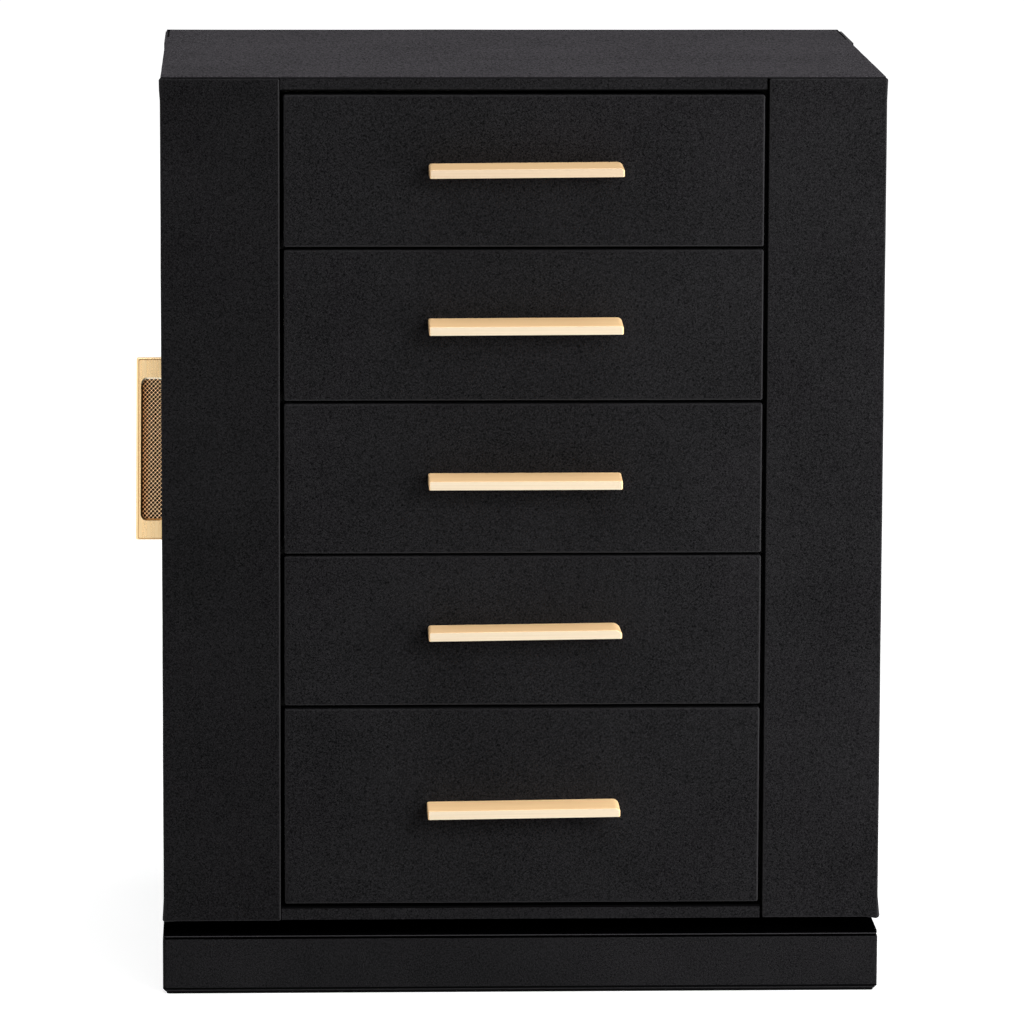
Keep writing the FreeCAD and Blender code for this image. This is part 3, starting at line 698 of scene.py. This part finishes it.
def pull_bar():
    """The bar's rings from its top down its sides and into the grip's recess, with its painted shade values.

    A painted shade line runs along the facet, and the recess's bevel is painted dark as shade but for one end
    of it."""
    tip, root = -pull_reach, 0.0
    outer = softened([(4 * edge_round, pull_height), (0.0, pull_height), (0.0, foot_arc)], edge_round)
    outer[-1:-1] = [(0.0, level) for level in np.linspace(outer[-2][1], foot_arc, side_steps)[1:-1]]
    outer += [(0.0, facet_drop), (0.0, facet_drop / 2)]
    rings = [
        rounded_ring(pull_half - inset, tip + inset, root, tip_round, root_round, level)
        for inset, level in outer
    ]
    lines = [0.0] * len(rings)
    for step, strength in shade_line_profile:
        inset = facet_width + step * shade_line_half
        level = facet_drop * max(0.0, 1 - inset / facet_width)
        half = pull_half - inset * facet_end_share
        rings.append(rounded_ring(half, tip + inset, root, tip_round, root_round, level))
        lines.append(strength)
    mouth = grip_tip_lip - pull_reach
    recess = softened(
        [(grip_bevel + grip_land, 0.0), (grip_bevel, 0.0), (0.0, grip_bevel_depth), (0.0, grip_depth)],
        edge_round)
    for outset, level in recess:
        corner = grip_corner + outset
        rings.append(rounded_ring(
            grip_half + outset, mouth - outset, outset - grip_root_lip, corner, corner, level))
        lines.append(lip_shade if grip_bevel > outset else 0.0)
    points, faces = skin_between(rings)
    lines = np.repeat(lines, len(rings[0]))
    lit_end = points[:, 0] > grip_half - grip_corner
    lit_end[:-len(recess) * len(rings[0])] = False
    return points, faces, np.where(lit_end, 0.0, lines)


knurl_pitch = 0.00178
knurl_height = 0.00085
knurl_base = 0.00025
knurl_steps = 12
knurl_ridge_share = 0.33
knurl_steepness = 6.0
pit_steepness = 5.0
warm_shade_width = 0.0036


def grip_plate():
    """The cross-cut grip: flat ridges along both diagonals, height = the larger of two ridge waves."""
    step = knurl_pitch / knurl_steps
    x = np.arange(-grip_half, grip_half + step / 2, step)
    y = np.arange(grip_tip_lip - pull_reach, step / 2 - grip_root_lip, step)
    x, y = np.meshgrid(x, y, indexing="ij")
    ridges = []
    for along in (x + y, x - y):
        phase = along / knurl_pitch
        away = np.abs(phase - np.round(phase)) / (knurl_ridge_share / 2)
        ridges.append(np.clip((1.0 - away) * knurl_steepness, 0.0, 1.0))
    ridge = np.maximum(ridges[0], ridges[1])
    level = grip_depth - knurl_height * ridge
    top = np.stack([x, y, level], -1)
    foot = np.stack([x, y, np.full_like(x, grip_depth + knurl_base)], -1)
    rows, columns = x.shape
    index = np.arange(rows * columns).reshape(rows, columns)
    upper = np.stack([index[:-1, :-1], index[:-1, 1:], index[1:, 1:], index[1:, :-1]], -1).reshape(-1, 4)
    rim = np.concatenate([index[:, 0], index[-1, 1:], index[-2::-1, -1], index[0, -2:0:-1]])
    lower = rows * columns + np.arange(len(rim))
    skirt = np.stack([rim, np.roll(rim, -1), np.roll(lower, -1), lower], -1)
    points = np.concatenate([top.reshape(-1, 3), foot.reshape(-1, 3)[rim]])
    faces = upper.tolist() + skirt.tolist() + [lower.tolist()]
    # The pit mask paints shade in the pits, and the warm share a painted warm shade towards the tip.
    pits = np.clip(pit_steepness * (1.0 - ridge.reshape(-1)), 0, 1)
    warm_shade = np.clip(1 - (points[:, 1] + pull_reach - grip_tip_lip) / warm_shade_width, 0, 1)
    return points, faces, {"pit": np.concatenate([pits, np.ones(len(rim))]), "warm_shade": warm_shade}


end_start, end_run = 0.003, 0.002
hair = 1e-5
bar_points, bar_faces, bar_shade_lines = pull_bar()
grip_points, grip_faces, grip_painted = grip_plate()
bar_middles = np.array([bar_points[face].mean(axis=0) for face in bar_faces])
front_cut = bar_middles[:, 1] < -pull_reach + hair
in_recess = (np.abs(bar_middles[:, 0]) < grip_half + grip_bevel) & (
    bar_middles[:, 1] > grip_tip_lip - grip_bevel - pull_reach)
lit_lip = in_recess & (bar_middles[:, 2] > hair) & (bar_middles[:, 2] < grip_bevel_depth)
# The front faces and the lit end of the recess's bevel take the lit copy of the plating: a painted highlight.
highlight_faces = front_cut | (lit_lip & (bar_middles[:, 0] > grip_half - grip_corner))


def shaped(points, top_left, top_right):
    """The bar with its top falling towards the tip and its ends drawn in along arcs at top and foot."""
    x, y, z = points.T
    arc = np.where(x > 0, top_right, top_left)
    above = np.clip(z - pull_height + arc, 0, arc)
    below = np.clip(foot_arc - z, 0, foot_arc)
    inset = arc - np.sqrt(arc ** 2 - above ** 2) + foot_arc - np.sqrt(foot_arc ** 2 - below ** 2)
    near_end = np.clip((np.abs(x) - grip_half - end_start) / end_run, 0, 1)
    fall = top_fall * (-y / pull_reach) * np.clip((z - fall_start) / (pull_height - fall_start), 0, 1)
    return np.stack([x - np.sign(x) * inset * near_end, y, z - fall], -1)


def turned(faces):
    """The same faces, facing the other way."""
    return [face[::-1] for face in faces]


screw_offset = 0.0330
screw_level = 0.0021
screw_in_bar = 0.0078
screw_points_round = 24
screw_half = 0.0015
screw_tip_half = 0.0007
screw_taper = 0.001
screw_profile = (
    (0.0011, 0.0009), (0.0011, 0.0020), (0.0020, 0.0019), (0.0026, 0.0014), (0.0028, 0.0007),
    (0.0028, 0.0), (screw_half, 0.0),
)


def pull_screws(head_at):
    """Two pan-head screws behind the bar: a profile of (radius, reach) turned about each screw's axis."""
    profile = [(radius, head_at + reach) for radius, reach in screw_profile]
    profile += [(screw_half, screw_taper - screw_in_bar), (screw_tip_half, -screw_in_bar)]
    turn = np.linspace(0, 2 * math.pi, screw_points_round, endpoint=False)
    rings = [
        np.stack([radius * np.cos(turn), np.full(len(turn), reach), -radius * np.sin(turn)], -1)
        for radius, reach in profile
    ]
    points, faces = skin_between(rings)
    points[:, 2] += screw_level
    second = [[index + len(points) for index in face] for face in faces]
    return np.concatenate([points - (screw_offset, 0, 0), points + (screw_offset, 0, 0)]), faces + second


def fit_pull(node, body, placed, plating, lit_plating, arcs, head_at, flip=False):
    """Put the bar, its grip and its screws where a pull goes; placed moves points from the pull's frame."""
    as_placed = turned if flip else list
    painted = {"line": bar_shade_lines, "bar_place": bar_points}
    bar = add_piece(
        node + "_bar", placed(shaped(bar_points, *arcs)), as_placed(bar_faces), plating,
        body, "champagne_gold", painted,
    )
    bar.data.materials.append(lit_plating.material)
    bar.data.polygons.foreach_set("material_index", highlight_faces.astype(np.int32))
    bar.data.polygons.foreach_set("use_smooth", np.full(len(bar.data.polygons), False))
    add_piece(
        node + "_grip", placed(grip_points), as_placed(grip_faces), grip_gold,
        body, "champagne_gold", grip_painted,
    )
    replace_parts(bar, node)
    screw_points, screw_faces = pull_screws(head_at)
    screws = add_piece(
        node + "_screws_turned", placed(screw_points), as_placed(screw_faces), zinc_steel, body, "zinc_steel")
    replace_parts(even_shading(screws), node + "_screws")


door_pull_lean = 0.5
door_pull_sink = 0.0007
door_pull_lift = 0.00045
door_pull_arcs = (0.0003, 0.0003)
door_pull_root = 0.001
door_screw_head = 0.0090


def tilted(points, nod, roll):
    """Turn points about the root line (nod, tip down) and about the reach (roll), by angles in degrees."""
    nod, roll = math.radians(nod), math.radians(roll)
    x, y, z = points.T
    y, z = y * math.cos(nod) - z * math.sin(nod), z * math.cos(nod) + y * math.sin(nod)
    return np.stack([x * math.cos(roll) - z * math.sin(roll), y, z * math.cos(roll) + x * math.sin(roll)], -1)


def on_left_door(points):
    """From the pull's frame to the left door: length up, reach to the left, grip to the front."""
    low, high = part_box("left_door_pull")
    x, y, z = points.T
    reach = y - np.minimum(y, 0) * door_pull_sink / pull_reach
    reach = reach + x * math.tan(math.radians(door_pull_lean)) * (y < -door_pull_root)
    return np.stack([reach, z, x], -1) + (high.x, low.y, (low.z + high.z) / 2 + door_pull_lift)


def on_right_door(points):
    """The left door's pull mirrored to the right door."""
    return on_left_door(points) * (-1, 1, 1)


door_pull_fit = (champagne_gold, highlight_gold, door_pull_arcs, door_screw_head)
fit_pull("left_door_pull", "left_door", on_left_door, *door_pull_fit)
fit_pull("right_door_pull", "right_door", on_right_door, *door_pull_fit, flip=True)


# The drawers have wrapped fronts, each with a pull in its middle, set by hand and so never quite level.
# Behind each front is a tray of thin board with velvet inside and over its rim, and black paper outside.
# Velvet-covered boards divide three of the trays.

drawers = range(1, 6)
front_edge_round = 0.0009

# For each drawer's pull: its shift to the right and its lift in metres, its nod and its roll in degrees.
pull_settings = {
    1: (0.0009, 0.0006, -0.6, 0.50),
    2: (0.0008, 0.0003, 2.1, 0.28),
    3: (0.0008, -0.0004, 0.6, 0.10),
    4: (0.0009, 0.0000, -2.2, 0.70),
    5: (0.0006, -0.0005, 0.1, 0.72),
}

# For each drawer's pull: the radii that its top corners are drawn in along, at the left and at the right.
pull_arcs = {
    1: (0.0010, 0.0022),
    2: (0.0007, 0.0018),
    3: (0.0007, 0.0008),
    4: (0.0010, 0.0032),
    5: (0.0005, 0.0023),
}
drawer_screw_head = 0.0120
front_left_trim = 0.00055
front_top_trims = {1: 0.0004, 2: 0.0005, 3: 0.0005, 4: 0.00035, 5: 0.0007}
tray_wall = 0.003
tray_corner = 0.0015
tray_floor_round = 0.002
rim_steps = np.radians(np.linspace(0, 180, 7))


def on_drawer(number):
    """A function that moves points from the pull's frame to the middle of a drawer front."""
    low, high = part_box("drawer_%d_pull" % number)
    shift, lift, nod, roll = pull_settings[number]
    place = ((low.x + high.x) / 2 + shift, high.y, low.z + lift)
    return lambda points: tilted(points, nod, roll) + place


def lined_tray(number):
    """A tray as rings: over the floor, up the inside, round the rim and down the outside."""
    node = "drawer_%d_tray" % number
    low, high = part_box(node)
    turn = np.radians(np.linspace(90, 0, 5))
    soft, lift = tray_floor_round * (1 - np.cos(turn)), tray_floor_round * (1 - np.sin(turn))
    rim = tray_wall / 2
    insets = [*(tray_wall + soft), tray_wall]
    levels = [*(low.z + tray_wall + lift), high.z - rim]
    insets += list(rim + rim * np.cos(rim_steps))[1:] + [0.0]
    levels += list(high.z - rim + rim * np.sin(rim_steps))[1:] + [low.z]
    rings = [
        rounded_ring(high.x - inset, low.y + inset, high.y - inset, tray_corner, tray_corner, level)
        for inset, level in zip(insets, levels)
    ]
    points, faces = skin_between(rings)
    tray = add_piece(node + "_lined", points, faces, velvet, "drawer_%d" % number, "velvet_lining")
    tray.data.materials.append(black_board.material)
    middles = np.array([points[face].mean(axis=0) for face in faces])
    outside = (np.abs(middles[:, 0]) > high.x - hair) | (middles[:, 1] < low.y + hair)
    outside |= (middles[:, 1] > high.y - hair) | (middles[:, 2] < low.z + hair)
    tray.data.polygons.foreach_set("material_index", outside.astype(np.int32))
    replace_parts(even_shading(tray), node)


for number in drawers:
    body = "drawer_%d" % number
    trims = ((front_left_trim, 0, 0), (0, 0, front_top_trims[number]))
    wrapped_board(body + "_front", body, front_edge_round, seed=20 + number, trims=trims)
    platings = (top_pull_shaded_satin, top_pull_shaded_cut) if number == 1 else (shaded_satin_gold, lit_cut)
    fit_pull(body + "_pull", body, on_drawer(number), *platings, pull_arcs[number], drawer_screw_head)
    lined_tray(number)
dress(velvet, "drawer_2_divider", "drawer_3_divider", "drawer_4_divider")


# The top drawer holds ring rolls: foam bars in velvet, side by side, with a slit between each two for rings.
# One roll is blown up by a cloth simulation from a slightly smaller bar, and each copy gets its own swell.

roll_count = 11
roll_start = 0.0010
roll_round = 0.0058
roll_cell = 0.0030
roll_swell = 0.0010
roll_unevenness = 0.00022
roll_pressure = 4.0
roll_frames = 20
roll_gap = 0.0004
first_sway_seed = 40


def evaluated_mesh(piece):
    """The piece's mesh with its modifiers at the current frame."""
    return bpy.data.meshes.new_from_object(piece.evaluated_get(bpy.context.evaluated_depsgraph_get()))


def swollen(points, faces):
    """Remesh a closed shape and let a cloth simulation with inner pressure swell it, up to a cap."""
    mesh = bpy.data.meshes.new("roll_core")
    mesh.from_pydata(points.tolist(), [], faces.tolist())
    core = into_scene("roll_core", mesh)
    remesh = core.modifiers.new("cells", "REMESH")
    remesh.mode, remesh.voxel_size = "VOXEL", roll_cell
    core.data = evaluated_mesh(core)
    core.modifiers.clear()
    start = mesh_points(core.data)
    polygons = [list(polygon.vertices) for polygon in core.data.polygons]
    cloth = core.modifiers.new("velvet", "CLOTH")
    cloth.settings.use_pressure = True
    cloth.settings.uniform_pressure_force = roll_pressure
    cloth.settings.effector_weights.gravity = 0.0
    for number in range(1, roll_frames + 1):
        bpy.context.scene.frame_set(number)
    moved = mesh_points(evaluated_mesh(core)) - start
    distance = np.linalg.norm(moved, axis=1, keepdims=True)
    bpy.context.scene.frame_set(1)
    bpy.data.objects.remove(core)
    return start + moved * np.minimum(1.0, roll_swell / np.maximum(distance, 1e-9)), polygons


rolls_low, rolls_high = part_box("drawer_1_ring_rolls")
roll_pitch = (rolls_high.y - rolls_low.y + roll_gap) / roll_count
roll_width = roll_pitch - roll_gap
roll_low = (rolls_low.x + roll_start, rolls_low.y + roll_start, rolls_low.z + roll_start)
roll_high = (rolls_high.x - roll_start, rolls_low.y + roll_width - roll_start, rolls_high.z - roll_start)
roll_points, roll_faces = box_surface(roll_low, roll_high, roll_round)
roll_points, roll_faces = swollen(rounded(roll_points, roll_low, roll_high, roll_round)[0], roll_faces)
for index in range(roll_count):
    sway = np.stack([ripple(roll_points, first_sway_seed + 3 * index + axis) for axis in range(3)], -1)
    placed = roll_points + sway * roll_unevenness + (0, index * roll_pitch, 0)
    placed = np.clip(placed, rolls_low, rolls_high)
    roll = add_piece(
        "drawer_1_ring_roll_%d" % (index + 1), placed, roll_faces, velvet, "drawer_1", "velvet_lining")
    smooth = roll.modifiers.new("smooth", "SUBSURF")
    smooth.levels = smooth.render_levels = 1
    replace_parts(roll, "drawer_1_ring_rolls")


# The side doors are wrapped boards that turn on steel pins in the top and bottom boards.
# Steel discs in their free edges meet small magnets in the rear posts.
# Inside, each has a stretched velvet lining, a gold strip of necklace hooks and a gathered pocket.

nickel_tone = (0.70, 0.69, 0.66)
nickel_smoothest, nickel_roughness_span = 0.14, 0.14
nickel_marks_per_metre = 500.0

nickel = bare_metal(
    "nickel_magnet", nickel_tone, nickel_smoothest, nickel_roughness_span, nickel_marks_per_metre)
dress(nickel, "door_magnets")
dress(zinc_steel, "door_pivot_pins", "left_door_strike_discs", "right_door_strike_discs")
dress(champagne_gold, "left_necklace_hook_rail", "right_necklace_hook_rail")

door_low, door_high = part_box("left_door_panel")
door_nose = (door_high.x - door_low.x) / 2
door_edge_round = 0.0008
door_disc_proud = 0.00015
door_step = 0.005
door_highlight_sharpness = 2.5
door_ripple_seed = 31


def door_outline(inset):
    """The door from above, anticlockwise: outer face, round nose, inner face and the free edge."""
    rear = door_high.y - door_disc_proud
    nose_x, nose_y = (door_low.x + door_high.x) / 2, door_low.y + door_nose
    count = int((rear - nose_y) / door_step)
    outer = np.linspace(rear - door_edge_round, nose_y, count)
    nose = np.linspace(math.pi, 2 * math.pi, 15)[1:-1]
    radius = door_edge_round - inset
    quarter = np.linspace(0, math.pi / 2, 5)
    parts_x = [
        np.full(count, door_low.x + inset),
        nose_x + (door_nose - inset) * np.cos(nose),
        np.full(count, door_high.x - inset),
        door_high.x - door_edge_round + radius * np.cos(quarter[1:]),
        door_low.x + door_edge_round - radius * np.sin(quarter[:-1]),
    ]
    parts_y = [
        outer,
        nose_y + (door_nose - inset) * np.sin(nose),
        outer[::-1],
        rear - door_edge_round + radius * np.sin(quarter[1:]),
        rear - door_edge_round + radius * np.cos(quarter[:-1]),
    ]
    return np.concatenate(parts_x), np.concatenate(parts_y)


def door_board():
    """The wrapped door: its outline at many heights, drawn in along an arc at the top and the bottom."""
    turn = np.radians([90.0, 60.0, 30.0])
    ends = door_edge_round * (1 - np.cos(turn)), door_edge_round * (1 - np.sin(turn))
    count = int((door_high.z - door_low.z) / door_step)
    middle = np.linspace(door_high.z - door_edge_round, door_low.z + door_edge_round, count)
    insets = np.concatenate([ends[0], np.zeros(count), ends[0][::-1]])
    levels = np.concatenate([door_high.z - ends[1], middle, (door_low.z + ends[1])[::-1]])
    rings = []
    for inset, level in zip(insets, levels):
        x, y = door_outline(inset)
        rings.append(np.stack([x, y, np.full(len(x), level)], -1))
    points, faces = skin_between(rings)
    # The door's rounded edges carry the same painted highlight, by how far in from the face they lie.
    edge = np.repeat(insets / door_edge_round, len(rings[0]))
    points[:, 0] += ripple(points, door_ripple_seed) * ripple_height
    return points, faces, np.clip(edge * door_highlight_sharpness, 0, 1)


lining_from_nose = 0.010
lining_from_free_edge = 0.006
lining_from_ends = 0.0025
lining_thickness = 0.0004
lining_sunk = 0.00005
lining_grid = (64, 140)
lining_low_y, lining_high_y = door_low.y + lining_from_nose, door_high.y - lining_from_free_edge
lining_low_z, lining_high_z = door_low.z + lining_from_ends, door_high.z - lining_from_ends


def across(columns, rows):
    """Two fields from 0 to 1 over a grid, across and up, and the quads between its points."""
    u, v = np.meshgrid(np.linspace(0, 1, columns), np.linspace(0, 1, rows), indexing="ij")
    return u, v, quads_over(np.arange(columns * rows).reshape(columns, rows))


def door_lining():
    """The velvet glued inside the door: a flat sheet whose edges turn down to the board."""
    u, v, faces = across(*lining_grid)
    rise = (1 - np.abs(2 * u - 1) ** 90) * (1 - np.abs(2 * v - 1) ** 200)
    x = door_high.x - lining_sunk + lining_thickness * rise
    y = lining_low_y + u * (lining_high_y - lining_low_y)
    z = lining_low_z + v * (lining_high_z - lining_low_z)
    return np.stack([x, y, z], -1).reshape(-1, 3), faces


pocket_low, pocket_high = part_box("left_door_pocket")
pocket_grid = (280, 70)
hem_grid = (460, 25)
pocket_belly = 0.0088
pocket_lean = 0.16
pocket_pleats = 19
pleat_height = 0.0009
side_pleat_share = 0.35
pleat_drift, fine_drift = 0.030, 0.010
foot_pleat_share = 0.12
pocket_sag = 0.0030
hem_half_height = 0.0032
hem_half_thickness = 0.0009
hem_ruffles = 46
hem_ruffle = 0.00045
ruffle_lean = 0.6
ruffle_rise = 0.12
cloth_thickness = 0.0006


def pocket_depth(u, v):
    """How far the pocket stands off the door without its pleats: a crown across times a belly upwards."""
    return pocket_belly * (1 - np.abs(2 * u - 1) ** 5) * (1 - (1 - v) ** 6) * (1 - pocket_lean * v)


def pocket_place(u, v, depth):
    """A point of the pocket from its place across and up and its depth off the door; the mouth sags."""
    x = pocket_low.x + lining_thickness + depth
    y = pocket_low.y + u * (pocket_high.y - pocket_low.y)
    z = pocket_low.z + v * (pocket_high.z - pocket_low.z - 2 * hem_half_height)
    z = z + hem_half_height - pocket_sag * v ** 3 * np.sin(math.pi * u)
    return np.stack([x, y, z], -1)


def pocket_cloth():
    """The gathered pocket: pleats that drift sideways and grow towards the elastic at the mouth."""
    u, v, faces = across(*pocket_grid)
    drift = pleat_drift * np.sin(2 * math.pi * (1.3 * u + 0.15))
    drift += fine_drift * np.sin(2 * math.pi * (4.1 * u + 0.7 * v))
    phase = 2 * math.pi * pocket_pleats * (u + drift)
    pleats = np.cos(phase) + side_pleat_share * np.cos(2 * phase + 2.0 * v)
    growth = foot_pleat_share + (1 - foot_pleat_share) * v ** 1.3
    growth = growth * (1 - np.abs(2 * u - 1) ** 8) * (1 - (1 - v) ** 8)
    depth = pocket_depth(u, v) + pleat_height * pleats * growth
    return pocket_place(u, v, depth).reshape(-1, 3), faces


def pocket_hem():
    """The elastic hem: an oval section carried along the mouth, ruffled evenly from end to end."""
    u, v, faces = across(*hem_grid)
    angle = 2 * math.pi * v
    waves = 2 * math.pi * hem_ruffles * u + ruffle_lean * np.cos(angle)
    ruffle = 1 + (hem_ruffle / hem_half_thickness) * np.cos(waves)
    centre = pocket_place(u, np.ones_like(u), pocket_depth(u, np.ones_like(u)))
    taper = np.sqrt(np.clip(1 - np.abs(2 * u - 1) ** 40, 0, 1))
    centre[..., 0] += hem_half_thickness * np.cos(angle) * ruffle * taper
    rise = 1 - ruffle_rise + ruffle_rise * ruffle
    centre[..., 2] += hem_half_height * np.sin(angle) * rise * taper
    return centre.reshape(-1, 3), faces[:, ::-1]


def sewn_shut(piece):
    """Weld a tube's long seam and its drawn-in ends, and turn its faces outwards."""
    form = bmesh.new()
    form.from_mesh(piece.data)
    bmesh.ops.remove_doubles(form, verts=form.verts, dist=1e-6)
    bmesh.ops.recalc_face_normals(form, faces=form.faces)
    form.to_mesh(piece.data)
    form.free()


def mirrored(points, faces):
    """The left door's shape as the right door's, with its faces turned to point outwards again."""
    return points * (-1, 1, 1), faces[:, ::-1] if isinstance(faces, np.ndarray) else turned(faces)


board_points, board_faces, board_highlights = door_board()
for side in ("left", "right"):
    body = side + "_door"

    def on_side(points, faces):
        """The shape as it is on this side's door."""
        return (points, faces) if side == "left" else mirrored(points, faces)

    board = add_piece(
        body + "_panel_wrap", *on_side(board_points, board_faces), black_leatherette,
        body, "black_leatherette", {"fold": board_highlights},
    )
    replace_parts(even_shading(board), body + "_panel")
    lining = add_piece(body + "_lining", *on_side(*door_lining()), velvet, body, "velvet_lining")
    hem = add_piece(body + "_pocket_hem", *on_side(*pocket_hem()), velvet, body, "velvet_lining")
    sewn_shut(hem)
    pocket = add_piece(body + "_pocket_cloth", *on_side(*pocket_cloth()), velvet, body, "velvet_lining")
    thick = pocket.modifiers.new("cloth", "SOLIDIFY")
    thick.thickness, thick.offset = cloth_thickness, 0.0
    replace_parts(pocket, body + "_pocket")


# The stage is a pale floor that keeps the box's shadow, under soft studio light from four square lamps.
# The floor glows towards white with the distance, and the background shows white to the camera and in gloss.
# The camera stands at the photo's angle.

floor_half = 6.0
floor_level = -0.0001
floor_pale = 0.5
floor_glow_near = 0.76
floor_glow_far = 0.97
floor_near, floor_far = 0.35, 2.2


def shows_white(tree):
    """1 for the rays that see the background: camera, glossy and transmission rays."""
    path = tree.nodes.new("ShaderNodeLightPath")
    total = path.outputs["Is Camera Ray"]
    for name in ("Is Glossy Ray", "Is Transmission Ray"):
        larger = tree.nodes.new("ShaderNodeMath")
        larger.operation = "MAXIMUM"
        tree.links.new(total, larger.inputs[0])
        tree.links.new(path.outputs[name], larger.inputs[1])
        total = larger.outputs[0]
    return total


floor_mesh = bpy.data.meshes.new("floor")
floor_corners = [(-1, -1), (1, -1), (1, 1), (-1, 1)]
floor_mesh.from_pydata(
    [(x * floor_half, y * floor_half, floor_level) for x, y in floor_corners], [], [(0, 1, 2, 3)])
floor = into_scene("floor", floor_mesh)
floor_paint = Finish("floor_paint", (floor_pale, floor_pale, floor_pale), 1.0, specular_ior_level=0.0)
distance = floor_paint.node("VectorMath", {"operation": "LENGTH"}, {0: floor_paint.place()}, "Value")
share = {"Value": distance, "From Min": floor_near, "From Max": floor_far}
away = floor_paint.node("MapRange", {"interpolation_type": "SMOOTHSTEP"}, share)
glow = away * (floor_glow_far - floor_glow_near) + floor_glow_near
floor_paint.set(emission_strength=glow * Field(floor_paint, shows_white(floor_paint.tree)))
floor_paint.set(emission_color=(1.0, 1.0, 1.0, 1.0))
floor_mesh.materials.append(floor_paint.material)

world_light = 0.15
world = bpy.data.worlds.new("studio")
bpy.context.scene.world = world
world.use_nodes = True
background = world.node_tree.nodes["Background"]
background.inputs["Color"].default_value = (1, 1, 1, 1)
strength = world.node_tree.nodes.new("ShaderNodeMath")
strength.operation = "MAXIMUM"
strength.inputs[1].default_value = world_light
world.node_tree.links.new(shows_white(world.node_tree), strength.inputs[0])
world.node_tree.links.new(strength.outputs[0], background.inputs["Strength"])


def soft_box(name, place, target, size, watts):
    """A square area lamp at a place, facing a target."""
    lamp = bpy.data.lights.new(name, "AREA")
    lamp.shape, lamp.size, lamp.energy = "SQUARE", size, watts
    holder = into_scene(name, lamp)
    place, target = np.array(place), np.array(target)
    ahead = (target - place) / np.linalg.norm(target - place)
    pan = math.atan2(ahead[0], ahead[1])
    holder.location = place
    holder.rotation_euler = (math.acos(-ahead[2]), 0.0, -pan)
    holder.visible_camera = False


box_middle = (0.0, 0.0, 0.18)

# Each lamp's place in metres, its width in metres and its power in watts.
lamps = {
    "key_lamp": ((0.57, -0.38, 0.05), 0.5, 5.6),
    "front_lamp": ((0.80, -1.25, 0.75), 0.6, 18.5),
    "top_lamp": ((0.2, -0.6, 3.0), 1.5, 56.0),
    "side_lamp": ((-1.7, 1.2, 0.9), 1.0, 16.0),
}
for name, (place, size, watts) in lamps.items():
    soft_box(name, place, box_middle, size, watts)

camera_place = (-0.10612, -2.67547, 0.59613)
camera_tilt = 81.0456
camera_roll = -0.19316
camera_pan = -2.24493
camera_lens = 235.457
camera_sensor = 36.0
camera_sight = 100.0
camera = bpy.data.cameras.new("camera")
camera.lens, camera.sensor_width = camera_lens, camera_sensor
camera.clip_end = camera_sight
camera_holder = into_scene("camera", camera)
camera_holder.location = camera_place
camera_holder.rotation_euler = [math.radians(angle) for angle in (camera_tilt, camera_roll, camera_pan)]
bpy.context.scene.camera = camera_holder
bpy.context.scene.view_settings.view_transform = "Standard"


def corners(bounds):
    """A box's two corners as plain lists."""
    return [[float(value) for value in corner] for corner in bounds]
